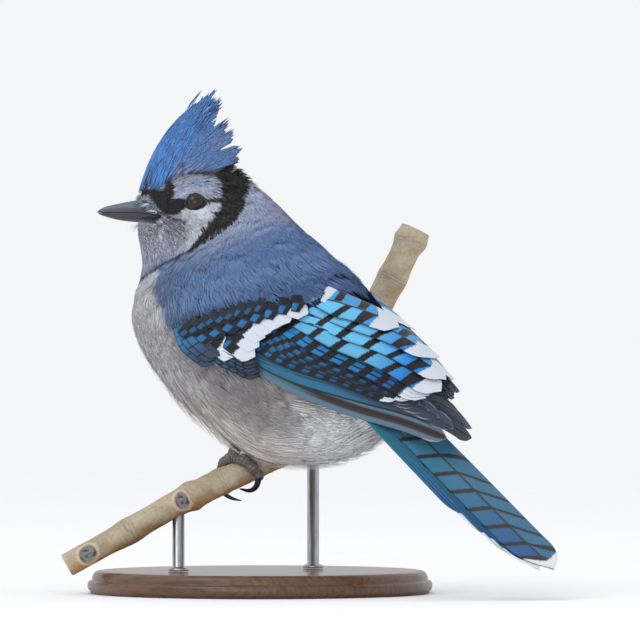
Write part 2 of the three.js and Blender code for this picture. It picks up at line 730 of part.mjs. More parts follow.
function leg(u, cutters) {
  const foot = footFrame(u);
  const { centre, up } = foot;
  const sole = centre.clone().addScaledVector(up, foot.radius + GAP + TOE_RADIUS);
  const ankle = sole.clone().add(vec(...TARSUS_RISE));
  const tarsus = limb([sole, ankle], [TARSUS_RADIUS * 1.25, TARSUS_RADIUS], 8);
  const pad = ellipsoid([2.8, 2.8, 1.8], sole.toArray(), 10);
  return cut(join([tarsus, pad, ...TOES.map((shape) => toe(foot, shape))]), cutters);
}

// Stand

function standBase() {
  const { radius, height, edge } = BASE;
  const [foot, top] = [[radius - 1, 0], [radius - edge, height]];
  const profile = [[0, 0], foot, [radius, 1], [radius, height - edge], top, [0, height]];
  const turnedProfile = profile.map(([x, y]) => new THREE.Vector2(x, y));
  return solid(new THREE.LatheGeometry(turnedProfile, 48).rotateX(rad(90)));
}

// A rod from the base up to the underside of the perch.
function standRod(u, cutters) {
  const foot = PERCH_LINE.getPoint(u);
  const bottom = BASE.height + GAP;
  const height = foot.z - bottom;
  const rod = new THREE.CylinderGeometry(ROD_RADIUS, ROD_RADIUS, height, 16)
    .rotateX(rad(90))
    .translate(foot.x, foot.y, bottom + height / 2);
  return cut(solid(rod), cutters);
}

// The whole model

const perchRoom = perchLimb(GAP);
const belly = trunkPiece(NECK_END + 0.03, TRUNK.length - 1, 15);
const torsoRoom = trunkPiece(NECK_END + 0.03, TRUNK.length - 1, 15, GAP);
const feet = [LEFT_FOOT, RIGHT_FOOT];
const torso = cut(belly, [perchRoom, ...feet.map((u) => footRoom(u))]);
const legRoom = cut(torsoRoom, feet.map((u) => footRoom(u, -GAP)));
const wing = leftWing([]);

const group = new THREE.Group();
const headGroup = new THREE.Group();
const headPivot = new THREE.Group();
headGroup.position.x = NECK_AXIS;
headGroup.rotation.z = rad(HEAD_TURN);
headPivot.position.x = -NECK_AXIS;
headGroup.add(headPivot);
group.add(headGroup);

headPivot.add(meshOf("head", head(), "crest"));
headPivot.add(meshOf("bill_upper", solid(billHalf("upper")), "bill"));
headPivot.add(meshOf("bill_lower", solid(billHalf("lower")), "bill"));
for (const [name, side] of [["eye_left", -1], ["eye_right", 1]]) {
  const { x, z, radius } = EYE;
  headPivot.add(meshOf(name, ellipsoid([radius, radius, radius], [x, side * EYE.side, z], 14), "eye"));
}
group.add(meshOf("neck", trunkPiece(HEAD_END + 0.05, NECK_END - 0.03, 4), "mantle"));
group.add(meshOf("torso", torso, "mantle"));
group.add(meshOf("wing_left", cut(wing, [torsoRoom, perchRoom]), "wing"));
group.add(meshOf("wing_right", cut(mirrored(wing), [torsoRoom, perchRoom]), "wing"));
group.add(meshOf("tail", tail([torsoRoom]), "tail"));
group.add(meshOf("leg_left", leg(LEFT_FOOT, [perchRoom, legRoom]), "leg"));
group.add(meshOf("leg_right", leg(RIGHT_FOOT, [perchRoom, legRoom]), "leg"));
group.add(meshOf("perch", perch(), "bark"));
group.add(meshOf("stand_base", standBase(), "wood"));
group.add(meshOf("stand_rod_front", standRod(0.16, [perchRoom]), "steel"));
group.add(meshOf("stand_rod_back", standRod(0.6, [perchRoom]), "steel"));

export default group;
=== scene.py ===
"""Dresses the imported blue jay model: plumage, bill, eyes, feet, cut perch and display stand.

Sizes are in millimetres in the CAD's frame, +Z up, and become metres where a mesh is made.
The bird faces -X, its left side is -Y, and its head is turned to its left.
"""

import logging
import math
from dataclasses import dataclass, field, replace
from enum import Enum
from typing import Callable

import bmesh
import bpy
import numpy as np
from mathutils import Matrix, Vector


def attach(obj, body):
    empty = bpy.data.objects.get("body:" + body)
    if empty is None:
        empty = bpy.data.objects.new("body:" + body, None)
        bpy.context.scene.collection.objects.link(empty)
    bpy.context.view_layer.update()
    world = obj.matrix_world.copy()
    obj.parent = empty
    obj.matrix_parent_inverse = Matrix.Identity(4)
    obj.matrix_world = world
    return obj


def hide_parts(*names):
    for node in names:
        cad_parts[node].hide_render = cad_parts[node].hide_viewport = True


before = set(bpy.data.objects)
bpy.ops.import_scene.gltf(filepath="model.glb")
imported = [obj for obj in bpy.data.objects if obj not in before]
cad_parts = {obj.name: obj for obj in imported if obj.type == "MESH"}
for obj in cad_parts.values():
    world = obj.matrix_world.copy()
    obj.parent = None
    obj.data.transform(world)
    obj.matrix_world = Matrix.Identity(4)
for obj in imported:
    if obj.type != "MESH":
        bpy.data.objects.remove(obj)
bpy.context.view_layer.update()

LOG = logging.getLogger("blue_jay")
MM = 0.001
SEED = 84

Points = np.ndarray
Numbers = np.ndarray
Table = tuple[tuple[float, ...], ...]

# How far along a blade of the coat its root, belly, shoulder and tip lie.
BLADE = (0.0, 0.36, 0.74, 1.0)
# A Mix node's colour sockets by number: its two inputs and its result.
COLOUR_A, COLOUR_B, MIXED = 6, 7, 2


# Colours


def linear(colour: str) -> Numbers:
    """Turns an sRGB hex colour into linear light.

    Args:
        colour: the colour as "#rrggbb".

    Returns:
        Three linear values from 0 to 1.
    """
    channels = np.array([int(colour[i : i + 2], 16) / 255 for i in (1, 3, 5)])
    return np.where(channels <= 0.04045, channels / 12.92, ((channels + 0.055) / 1.055) ** 2.4)


def rgba(colour: str) -> tuple[float, ...]:
    """An sRGB hex colour as linear RGBA for a socket."""
    return (*linear(colour).tolist(), 1.0)


def plain(colour: str, count: int) -> Numbers:
    """One linear colour for each of a number of places."""
    return np.tile(linear(colour), (count, 1))


def laid(colour: Numbers, *layers: tuple[str, Numbers]) -> Numbers:
    """Lays colours over others.

    Args:
        colour: N x 3 linear colours.
        layers: each new colour with its cover from 0 to 1, the lowest first.

    Returns:
        The colours seen from above.
    """
    for top, cover in layers:
        cover = np.clip(cover, 0, 1)[:, None]
        colour = colour * (1 - cover) + linear(top) * cover
    return colour


# Small sums


def mix(low: float, high: float, share: Numbers) -> Numbers:
    """The value a share of the way from low to high."""
    return low + (high - low) * share


def ease(value: Numbers, low: float, high: float) -> Numbers:
    """A smooth step from 0 at low to 1 at high."""
    share = np.clip((np.asarray(value, float) - low) / (high - low), 0, 1)
    return share * share * (3 - 2 * share)


def bell(value: Numbers, middle: float, width: float) -> Numbers:
    """A soft hump of height 1 about a middle value."""
    return np.exp(-(((value - middle) / width) ** 2))


def from_top(angle: Numbers) -> Numbers:
    """Degrees from the top, on either side, of angles round the body."""
    return np.abs((np.asarray(angle) + 180) % 360 - 180)


def unit(vectors: Points) -> Points:
    """Vectors brought to length 1."""
    return vectors / np.maximum(np.linalg.norm(vectors, axis=-1, keepdims=True), 1e-9)


def squared(vectors: Points, ahead: Points) -> Points:
    """The unit directions nearest to vectors that stand square to the ways ahead."""
    return unit(vectors - ahead * np.sum(vectors * ahead, axis=1, keepdims=True))


def from_end(share: Numbers, margin: float) -> Numbers:
    """How far shares of a length are from its nearer end, from 0 there to 1 at the margin."""
    return np.clip(np.minimum(share, 1 - share) / margin, 0, 1)


def smooth_read(table: Numbers, at: Numbers) -> Numbers:
    """Reads a table between its rows along a smooth curve through its neighbours.

    Args:
        table: rows of values.
        at: fractional row numbers, of any shape.

    Returns:
        The values, with the shape of at and the table's columns last.
    """
    last = len(table) - 1
    at = np.clip(np.asarray(at, float), 0, last)
    row = np.minimum(np.floor(at).astype(int), last - 1)
    share = (at - row)[..., None]
    before, low, high, after = (table[np.clip(row + step, 0, last)] for step in (-1, 0, 1, 2))
    slope = high - before
    bow = 2 * before - 5 * low + 4 * high - after
    return low + 0.5 * share * (slope + share * (bow + share * (3 * (low - high) + after - before)))


def between(table: Table, at: Numbers) -> Numbers:
    """A value read straight between the points of a rising table."""
    return np.interp(at, [row[0] for row in table], [row[1] for row in table])


def outline_depth(points: Points, outline: list[tuple[float, float]]) -> Numbers:
    """How deep points lie inside a closed outline.

    Args:
        points: N places in the outline's plane.
        outline: its corners in order.

    Returns:
        The distance from the edge, positive inside.
    """
    corners = np.array(outline, float)
    starts, ends = corners, np.roll(corners, -1, 0)
    nearest = np.full(len(points), 1e9)
    inside = np.zeros(len(points), bool)
    for start, end in zip(starts, ends):
        side = end - start
        share = np.clip(((points - start) @ side) / (side @ side), 0, 1)
        nearest = np.minimum(nearest, np.linalg.norm(points - start - share[:, None] * side, axis=1))
        crosses = (start[1] > points[:, 1]) != (end[1] > points[:, 1])
        rise = np.where(abs(side[1]) < 1e-9, 1e-9, side[1])
        inside ^= crosses & (points[:, 0] < start[0] + (points[:, 1] - start[1]) * side[0] / rise)
    return np.where(inside, nearest, -nearest)


def stroke_depth(points: Points, path: list[tuple[float, float, float]]) -> Numbers:
    """How deep points lie inside a brush stroke.

    Args:
        points: N places in the stroke's plane.
        path: its middle line as (x, z, half width).

    Returns:
        The distance from the stroke's edge, positive inside.
    """
    deepest = np.full(len(points), -1e9)
    for start, end in zip(path, path[1:]):
        low, high = np.array(start[:2]), np.array(end[:2])
        side = high - low
        share = np.clip(((points - low) @ side) / (side @ side), 0, 1)
        away = np.linalg.norm(points - low - share[:, None] * side, axis=1)
        deepest = np.maximum(deepest, mix(start[2], end[2], share) - away)
    return deepest


# Mesh making


def finished(name: str, shape: bmesh.types.BMesh) -> bpy.types.Mesh:
    """Turns a shape that is being edited into a mesh, and lets it go."""
    mesh = bpy.data.meshes.new(name)
    shape.to_mesh(mesh)
    shape.free()
    return mesh


def mesh_object(name: str, mesh: bpy.types.Mesh, material: bpy.types.Material) -> bpy.types.Object:
    """Puts a mesh in the scene as a smooth-shaded object at the origin.

    Args:
        name: the piece's name.
        mesh: its mesh, in metres.
        material: its finish.

    Returns:
        The new object.
    """
    piece = bpy.data.objects.new(name, mesh)
    bpy.context.scene.collection.objects.link(piece)
    mesh.materials.append(material)
    mesh.polygons.foreach_set("use_smooth", np.ones(len(mesh.polygons), bool))
    return piece


def array_mesh(name: str, points: Points, faces: np.ndarray) -> bpy.types.Mesh:
    """A mesh of many small things from arrays.

    Args:
        name: the mesh's name.
        points: N x 3 places in millimetres.
        faces: M x 3 or M x 4 point numbers.

    Returns:
        The mesh, in metres.
    """
    mesh = bpy.data.meshes.new(name)
    count, sides = faces.shape
    mesh.vertices.add(len(points))
    mesh.vertices.foreach_set("co", (points * MM).astype(np.float32).ravel())
    mesh.loops.add(count * sides)
    mesh.loops.foreach_set("vertex_index", faces.astype(np.int32).ravel())
    mesh.polygons.add(count)
    mesh.polygons.foreach_set("loop_start", np.arange(0, count * sides, sides, dtype=np.int32))
    mesh.update(calc_edges=True)
    mesh.validate()
    return mesh


def add_colours(mesh: bpy.types.Mesh, name: str, colours: Numbers) -> None:
    """Stores a linear colour for each point of a mesh."""
    layer = mesh.color_attributes.new(name, "FLOAT_COLOR", "POINT")
    filled = np.concatenate([colours, np.ones((len(colours), 1))], 1)
    layer.data.foreach_set("color", filled.astype(np.float32).ravel())


def add_vectors(mesh: bpy.types.Mesh, name: str, vectors: Points) -> None:
    """Stores three values for each point of a mesh."""
    layer = mesh.attributes.new(name, "FLOAT_VECTOR", "POINT")
    layer.data.foreach_set("vector", vectors.astype(np.float32).ravel())


def add_map(mesh: bpy.types.Mesh, name: str, places: Numbers) -> None:
    """Stores a UV map that gives each point of a mesh one place."""
    layer = mesh.uv_layers.new(name=name)
    corners = np.zeros(len(mesh.loops), np.int32)
    mesh.loops.foreach_get("vertex_index", corners)
    layer.data.foreach_set("uv", places[corners].astype(np.float32).ravel())


def warped_grid(
    name: str,
    columns: int,
    rows: int,
    place: Callable[[Numbers, Numbers], Points],
    paint: Callable[[Numbers, Numbers], Numbers] | None = None,
    unwrap: bool = False,
) -> bpy.types.Mesh:
    """Bends a grid into a closed skin round an axis.

    Args:
        name: the mesh's name.
        columns: steps round the axis.
        rows: steps along it. Its first and last rows may shrink to a point.
        place: gives points in millimetres for shares (round, along) from 0 to 1.
        paint: gives linear colours for the same shares.
        unwrap: whether the shares are also kept as its bake map.

    Returns:
        The closed mesh, in metres, its faces outwards.
    """
    shape = bmesh.new()
    bmesh.ops.create_grid(shape, x_segments=columns, y_segments=rows, size=1)
    flat = np.array([vert.co for vert in shape.verts])
    round_share, along_share = (flat[:, 0] + 1) / 2, (flat[:, 1] + 1) / 2
    for vert, point in zip(shape.verts, place(round_share, along_share) * MM):
        vert.co = point
    mesh = finished(name, shape)
    if paint:
        add_colours(mesh, "plumage", paint(round_share, along_share))
    if unwrap:
        add_map(mesh, "OFBake", np.stack([round_share, along_share], 1))
    closed = bmesh.new()
    closed.from_mesh(mesh)
    bmesh.ops.remove_doubles(closed, verts=closed.verts, dist=2e-6)
    rims = [edge for edge in closed.edges if edge.is_boundary]
    if rims:
        bmesh.ops.holes_fill(closed, edges=rims, sides=0)
    bmesh.ops.recalc_face_normals(closed, faces=closed.faces)
    closed.to_mesh(mesh)
    closed.free()
    return mesh


def points_of(mesh: bpy.types.Mesh) -> Points:
    """A mesh's points, in millimetres."""
    flat = np.zeros(len(mesh.vertices) * 3, np.float32)
    mesh.vertices.foreach_get("co", flat)
    return flat.reshape(-1, 3).astype(float) / MM


def lathe(name: str, profile: list[tuple[float, float]], steps: int, at: Points) -> bpy.types.Mesh:
    """Turns a profile a full circle about an upright axis.

    Args:
        name: the mesh's name.
        profile: (radius, height) points from the bottom's middle to the top's.
        steps: facets round the axis.
        at: the axis' foot.

    Returns:
        The closed mesh, in metres.
    """
    shape = bmesh.new()
    verts = [shape.verts.new((radius * MM, 0, height * MM)) for radius, height in profile]
    edges = [shape.edges.new(pair) for pair in zip(verts, verts[1:])]
    bmesh.ops.spin(
        shape, geom=verts + edges, axis=(0, 0, 1), cent=(0, 0, 0), angle=2 * math.pi,
        steps=steps, use_merge=True,
    )
    bmesh.ops.remove_doubles(shape, verts=shape.verts, dist=1e-6)
    bmesh.ops.recalc_face_normals(shape, faces=shape.faces)
    bmesh.ops.translate(shape, verts=shape.verts, vec=Vector(at) * MM)
    return finished(name, shape)


def settle(piece: bpy.types.Object, slot: str, *nodes: str) -> bpy.types.Object:
    """Makes a piece ride on the model's one body.

    Args:
        piece: the finished object.
        slot: the record's material slot. It is not used.
        nodes: the CAD nodes that it stands for.

    Returns:
        The same object.
    """
    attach(piece, "root")
    if nodes:
        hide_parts(*nodes)
    LOG.info("%s: %d faces", piece.name, len(piece.data.polygons))
    return piece


# Materials


def add_node(
    tree: bpy.types.NodeTree, kind: str, inputs: dict | None = None, **settings: object
) -> bpy.types.Node:
    """Adds a node with its settings, values and links.

    Args:
        tree: the material's node tree.
        kind: the node's type name.
        inputs: values or output sockets by the input's name or number.
        settings: the node's own properties.

    Returns:
        The new node.
    """
    node = tree.nodes.new(kind)
    for name, value in settings.items():
        setattr(node, name, value)
    for key, value in (inputs or {}).items():
        if isinstance(value, bpy.types.NodeSocket):
            tree.links.new(value, node.inputs[key])
        else:
            node.inputs[key].default_value = value
    return node


def new_material(name: str) -> tuple[bpy.types.Material, bpy.types.NodeTree, bpy.types.Node]:
    """Makes an empty material with its shader.

    Args:
        name: the material's name.

    Returns:
        The material, its node tree and its Principled shader.
    """
    material = bpy.data.materials.new(name)
    material.use_nodes = True
    tree = material.node_tree
    shader = tree.nodes["Principled BSDF"]
    return material, tree, shader


def set_shader(tree: bpy.types.NodeTree, shader: bpy.types.Node, **values: object) -> None:
    """Sets the shader's sockets, with underscores for spaces in their names."""
    for name, value in values.items():
        socket = shader.inputs[name.replace("_", " ")]
        if isinstance(value, bpy.types.NodeSocket):
            tree.links.new(value, socket)
        else:
            socket.default_value = value


def noise_of(
    tree: bpy.types.NodeTree, vector: bpy.types.NodeSocket, grain_mm: float, detail: float = 2.0,
    stretch: tuple[float, float, float] = (1, 1, 1),
) -> bpy.types.Node:
    """Noise whose grain has a real size.

    Args:
        tree: the material's node tree.
        vector: the coordinates' socket, in metres.
        grain_mm: the grain's size in millimetres.
        detail: octaves of finer noise.
        stretch: how many times finer the grain is along each axis.

    Returns:
        The noise node.
    """
    sized = add_node(tree, "ShaderNodeMapping", {"Vector": vector, "Scale": stretch})
    return add_node(
        tree, "ShaderNodeTexNoise",
        {"Vector": sized.outputs[0], "Scale": 1 / (grain_mm * MM), "Detail": detail},
    )


def tinted(
    tree: bpy.types.NodeTree, colour: bpy.types.NodeSocket, factor: bpy.types.NodeSocket, dark: float,
    light: float,
) -> bpy.types.NodeSocket:
    """Varies a colour's brightness by a factor.

    Args:
        tree: the material's node tree.
        colour: the colour's socket.
        factor: the socket that varies from 0 to 1.
        dark: the share of brightness at 0.
        light: the share of brightness at 1.

    Returns:
        The tinted colour's socket.
    """
    spread = add_node(
        tree, "ShaderNodeMapRange", {"Value": factor, "From Min": 0.25, "From Max": 0.75,
                                     "To Min": dark, "To Max": light},
    )
    scaled = add_node(
        tree, "ShaderNodeVectorMath", {0: colour, "Scale": spread.outputs[0]}, operation="SCALE"
    )
    return scaled.outputs[0]


@dataclass(frozen=True)
class CoatFinish:
    """Contour plumage: soft keratin barbs, matt with a faint bloom, coloured barb by barb."""

    name: str
    roughness: float = 0.68
    sheen: float = 0.18
    barb_mm: float = 0.5
    spread: float = 0.1
    bump_mm: float = 0.1

    def build(self) -> bpy.types.Material:
        """Makes the material. The noise gives the eye the small unevenness of worn barbs."""
        material, tree, shader = new_material(self.name)
        own = add_node(tree, "ShaderNodeAttribute", attribute_name="plumage")
        object_place = add_node(tree, "ShaderNodeTexCoord").outputs["Object"]
        grain = noise_of(tree, object_place, self.barb_mm * 3, 3)
        colour = tinted(tree, own.outputs["Color"], grain.outputs[0], 1 - self.spread, 1 + self.spread)
        fine = noise_of(tree, object_place, self.barb_mm)
        bump = add_node(
            tree, "ShaderNodeBump",
            {"Height": fine.outputs[0], "Strength": 0.25, "Distance": self.bump_mm * MM},
        )
        set_shader(
            tree, shader, Base_Color=colour, Roughness=self.roughness, Sheen_Weight=self.sheen,
            Specular_IOR_Level=0.25, IOR=1.55, Normal=bump.outputs[0],
        )
        return material


@dataclass(frozen=True)
class VaneFinish:
    """Flight feathers: zipped barbs with a dull gloss, black bars, white tips and a dark shaft."""

    name: str
    ink: str = "#10121b"
    white: str = "#ccd4df"
    shaft: str = "#1b1a22"
    barb_mm: float = 0.55
    bump_mm: float = 0.08
    roughness: float = 0.5
    bar_fray: float = 0.16
    tip_fray: float = 2.2

    def build(self) -> bpy.types.Material:
        """Makes the material.

        Returns:
            The material. "bars" holds the bar's phase, its share and the depth into the white
            tip, and "web" the place across the vane, along it and along the slanted barbs.
        """
        material, tree, shader = new_material(self.name)
        own = add_node(tree, "ShaderNodeAttribute", attribute_name="plumage").outputs["Color"]
        bars = add_node(tree, "ShaderNodeAttribute", attribute_name="bars").outputs["Vector"]
        web = add_node(tree, "ShaderNodeAttribute", attribute_name="web").outputs["Vector"]
        bars = add_node(tree, "ShaderNodeSeparateXYZ", {0: bars}).outputs
        parts = add_node(tree, "ShaderNodeSeparateXYZ", {0: web}).outputs
        frayed = add_node(
            tree, "ShaderNodeTexNoise", {"Vector": web, "Scale": 1.6, "Detail": 3.0}
        ).outputs[0]
        shift = add_node(tree, "ShaderNodeMath", {0: frayed, 1: 0.5}, operation="SUBTRACT").outputs[0]
        phase = add_node(
            tree, "ShaderNodeMath", {0: shift, 1: self.bar_fray, 2: bars[0]}, operation="MULTIPLY_ADD"
        ).outputs[0]
        turn = add_node(tree, "ShaderNodeMath", {0: phase}, operation="FRACT").outputs[0]
        away = add_node(tree, "ShaderNodeMath", {0: turn, 1: 0.5}, operation="SUBTRACT").outputs[0]
        away = add_node(tree, "ShaderNodeMath", {0: away}, operation="ABSOLUTE").outputs[0]
        edge = add_node(tree, "ShaderNodeMath", {0: bars[1], 1: 0.5}, operation="MULTIPLY").outputs[0]
        depth = add_node(tree, "ShaderNodeMath", {0: edge, 1: away}, operation="SUBTRACT").outputs[0]
        inked = add_node(
            tree, "ShaderNodeMapRange", {"Value": depth, "From Min": -0.025, "From Max": 0.025}
        ).outputs[0]
        off = add_node(tree, "ShaderNodeMath", {0: parts[0]}, operation="ABSOLUTE").outputs[0]
        shafted = add_node(
            tree, "ShaderNodeMapRange",
            {"Value": off, "From Min": 0.03, "From Max": 0.08, "To Min": 0.9, "To Max": 0.0},
        ).outputs[0]
        tip = add_node(
            tree, "ShaderNodeMath", {0: shift, 1: self.tip_fray, 2: bars[2]}, operation="MULTIPLY_ADD"
        ).outputs[0]
        whitened = add_node(
            tree, "ShaderNodeMapRange", {"Value": tip, "From Min": -0.3, "From Max": 0.3}
        ).outputs[0]
        colour = own
        for cover, top in ((inked, self.ink), (shafted, self.shaft), (whitened, self.white)):
            colour = add_node(
                tree, "ShaderNodeMix", {"Factor": cover, COLOUR_A: colour, COLOUR_B: rgba(top)},
                data_type="RGBA",
            ).outputs[MIXED]
        barbs = add_node(
            tree, "ShaderNodeMath", {0: parts[2], 1: 2 * math.pi / self.barb_mm}, operation="MULTIPLY"
        ).outputs[0]
        barbs = add_node(tree, "ShaderNodeMath", {0: barbs}, operation="SINE").outputs[0]
        ribs = add_node(
            tree, "ShaderNodeMapRange", {"Value": barbs, "From Min": -1.0, "To Min": 0.0}
        ).outputs[0]
        colour = tinted(tree, colour, ribs, 0.9, 1.04)
        bump = add_node(
            tree, "ShaderNodeBump", {"Height": ribs, "Strength": 0.3, "Distance": self.bump_mm * MM}
        )
        set_shader(
            tree, shader, Base_Color=colour, Roughness=self.roughness, Sheen_Weight=0.08,
            Specular_IOR_Level=0.22, IOR=1.55, Normal=bump.outputs[0],
        )
        return material


@dataclass(frozen=True)
class GrainFinish:
    """A surface of two colours mixed by a stretched grain, with a bump of the same grain."""

    name: str
    dark: str
    light: str
    grain_mm: float
    stretch: tuple[float, float, float] = (1, 1, 1)
    roughness: float = 0.5
    metallic: float = 0.0
    bump_mm: float = 0.1
    fine_mm: float = 0.4
    coat: float = 0.0

    def build(self) -> bpy.types.Material:
        """Makes the material.

        Returns:
            The material. A coarse grain gives the eye its figure and a fine one its tooth.
        """
        material, tree, shader = new_material(self.name)
        object_place = add_node(tree, "ShaderNodeTexCoord").outputs["Object"]
        grain = noise_of(tree, object_place, self.grain_mm, 4, self.stretch)
        fine = noise_of(tree, object_place, self.fine_mm, 2, self.stretch)
        both = add_node(
            tree, "ShaderNodeMath", {0: fine.outputs[0], 1: 0.35, 2: grain.outputs[0]},
            operation="MULTIPLY_ADD",
        ).outputs[0]
        shade = add_node(
            tree, "ShaderNodeMapRange", {"Value": both, "From Min": 0.45, "From Max": 0.9}
        ).outputs[0]
        ramp = add_node(
            tree, "ShaderNodeMix",
            {"Factor": shade, COLOUR_A: rgba(self.dark), COLOUR_B: rgba(self.light)}, data_type="RGBA",
        )
        bump = add_node(
            tree, "ShaderNodeBump", {"Height": both, "Strength": 0.6, "Distance": self.bump_mm * MM}
        )
        set_shader(
            tree, shader, Base_Color=ramp.outputs[MIXED], Roughness=self.roughness,
            Metallic=self.metallic, Coat_Weight=self.coat, Normal=bump.outputs[0],
        )
        return material


@dataclass(frozen=True)
class PaintedFinish:
    """A smooth surface coloured by its points, such as horn or the iris of an eye."""

    name: str
    roughness: float
    ior: float = 1.54
    coat: float = 0.0
    grain_mm: float = 1.2
    spread: float = 0.08
    bump_mm: float = 0.03

    def build(self) -> bpy.types.Material:
        """Makes the material. Its grain gives the eye the growth marks of horn."""
        material, tree, shader = new_material(self.name)
        own = add_node(tree, "ShaderNodeAttribute", attribute_name="plumage").outputs["Color"]
        object_place = add_node(tree, "ShaderNodeTexCoord").outputs["Object"]
        grain = noise_of(tree, object_place, self.grain_mm, 3)
        colour = tinted(tree, own, grain.outputs[0], 1 - self.spread, 1 + self.spread)
        bump = add_node(
            tree, "ShaderNodeBump",
            {"Height": grain.outputs[0], "Strength": 0.5, "Distance": self.bump_mm * MM},
        )
        set_shader(
            tree, shader, Base_Color=colour, Roughness=self.roughness, IOR=self.ior,
            Coat_Weight=self.coat, Coat_Roughness=0.03, Normal=bump.outputs[0],
        )
        return material


# The body's form

# The x of the upright line that the head turns about, and the stations where face and neck end.
NECK_AXIS = -22.6
FACE_END = 4
NECK_END = 9


@dataclass(frozen=True)
class Form:
    """Slanted sections from the bill's root to the tail's, as the CAD's stations give them.

    A row holds the top's x and z, the bottom's x and z, half the width and how much slimmer the
    section is above than below. An angle goes from the top towards the bird's left.
    """

    stations: Numbers
    turns: bool
    head_turn: float = 32.0
    turn_from: float = 6.0
    turn_to: float = 9.0

    def straight(self, place: Numbers, angle: Numbers, grow: Numbers = 0.0) -> Points:
        """Points of the form with the head held straight.

        Args:
            place: fractional stations.
            angle: degrees from the top.
            grow: millimetres outwards.

        Returns:
            The points.
        """
        values = smooth_read(self.stations, place)
        top_x, top_z, low_x, low_z, half, slim = np.moveaxis(values, -1, 0)
        turn = np.radians(angle)
        radius_x, radius_z = (top_x - low_x) / 2, (top_z - low_z) / 2
        stretch = 1 + grow / np.hypot(radius_x, radius_z)
        up, side = np.cos(turn), np.sin(turn)
        return np.stack([
            (top_x + low_x) / 2 + radius_x * up * stretch,
            -(half + grow) * side * (1 - slim * up),
            (top_z + low_z) / 2 + radius_z * up * stretch,
        ], -1)

    def point(self, place: Numbers, angle: Numbers, grow: Numbers = 0.0) -> Points:
        """Points of the form as it stands, with its head turned."""
        points = self.straight(place, angle, grow)
        if not self.turns:
            return points
        degrees = self.head_turn * (1 - ease(place, self.turn_from, self.turn_to))
        return turned(points, degrees)

    def directions(self, place: Numbers, angle: Numbers) -> tuple[Points, Points, Points]:
        """How the form runs at places on it.

        Args:
            place: fractional stations.
            angle: degrees from the top.

        Returns:
            Millimetres per station backwards, millimetres per degree round, and the unit
            direction outwards.
        """
        step = 0.02
        last = len(self.stations) - 1
        low, high = np.maximum(place - step, 0), np.minimum(place + step, last)
        along = (self.point(high, angle) - self.point(low, angle)) / (high - low)[..., None]
        across = (self.point(place, angle + 0.5) - self.point(place, angle - 0.5))
        return along, across, unit(np.cross(across, along))


def turned(points: Points, degrees: Numbers, axis: float = NECK_AXIS) -> Points:
    """Points turned with the head about the neck's upright line."""
    turn = np.radians(degrees)
    x, y = points[..., 0] - axis, points[..., 1]
    return np.stack([
        x * np.cos(turn) - y * np.sin(turn) + axis,
        x * np.sin(turn) + y * np.cos(turn),
        points[..., 2],
    ], -1)


TRUNK = Form(
    stations=np.array([
        (-51, 161.2, -52.6, 146.8, 5, 0.1),
        (-50.2, 165.2, -52.4, 142.4, 7.6, 0.12),
        (-46.8, 169.4, -51.6, 138, 10.2, 0.15),
        (-39.6, 172.8, -51, 133.8, 12.4, 0.15),
        (-29.4, 174.2, -51, 130, 14, 0.15),
        (-18.6, 172.4, -51.6, 126.6, 15.4, 0.15),
        (-7.5, 165.5, -52.4, 123.4, 17.8, 0.12),
        (2.5, 157, -54.2, 119.5, 22.5, 0.1),
        (13.5, 147.5, -54.5, 115.5, 29.5, 0.08),
        (26.5, 138.5, -54.5, 105.5, 36, 0.06),
        (36, 127.5, -47.5, 92.5, 38.5, 0.08),
        (43.5, 117.5, -35.5, 79, 38.5, 0.1),
        (50, 108, -18, 65, 36, 0.15),
        (55.5, 99, 4, 53, 31.5, 0.2),
        (59.5, 93, 28, 51.5, 25, 0.2),
        (62, 89, 45, 56, 18.5, 0.15),
        (63, 86.5, 55, 65, 12, 0.1),
    ], float),
    turns=True,
)
# The bed that the folded wings lie on, from the shoulder to the wing tips.
BED = Form(
    stations=np.array([
        (30, 138.5, -60, 108.5, 38, 0.05),
        (40, 127.5, -54.5, 92, 41.5, 0.1),
        (49, 117.5, -43, 77.5, 41.5, 0.15),
        (58.4, 110.2, -24, 64, 38.5, 0.2),
        (69.8, 101.3, 0.9, 55.2, 33, 0.3),
        (80.7, 91.2, 28.3, 51.2, 26, 0.3),
        (90.1, 81, 56.6, 52.4, 19, 0.3),
        (98.9, 69.2, 80.2, 55.2, 12.5, 0.2),
        (106.1, 61.2, 99.1, 57.2, 8, 0.2),
    ], float),
    turns=False,
)
HEAD_TURN = TRUNK.head_turn
TRUNK_END = 16.0


# Markings


class Side(Enum):
    """The bird's own left and right."""

    LEFT = -1
    RIGHT = 1


@dataclass(frozen=True)
class Mark:
    """A marking of the head's profile, drawn alike on both sides.

    Either an outline of (x, z) corners or, with_width, a stroke of (x, z, half width). soft is
    how far its edge is feathered.
    """

    colour: str
    soft: float
    path: list[tuple[float, ...]]
    stroke: bool = False
    strength: float = 1.0

    def cover(self, profile: Points) -> Numbers:
        """How much of the marking covers places of the profile, from 0 to 1."""
        depth = stroke_depth(profile, self.path) if self.stroke else outline_depth(profile, self.path)
        return self.strength * ease(depth, -self.soft, self.soft)


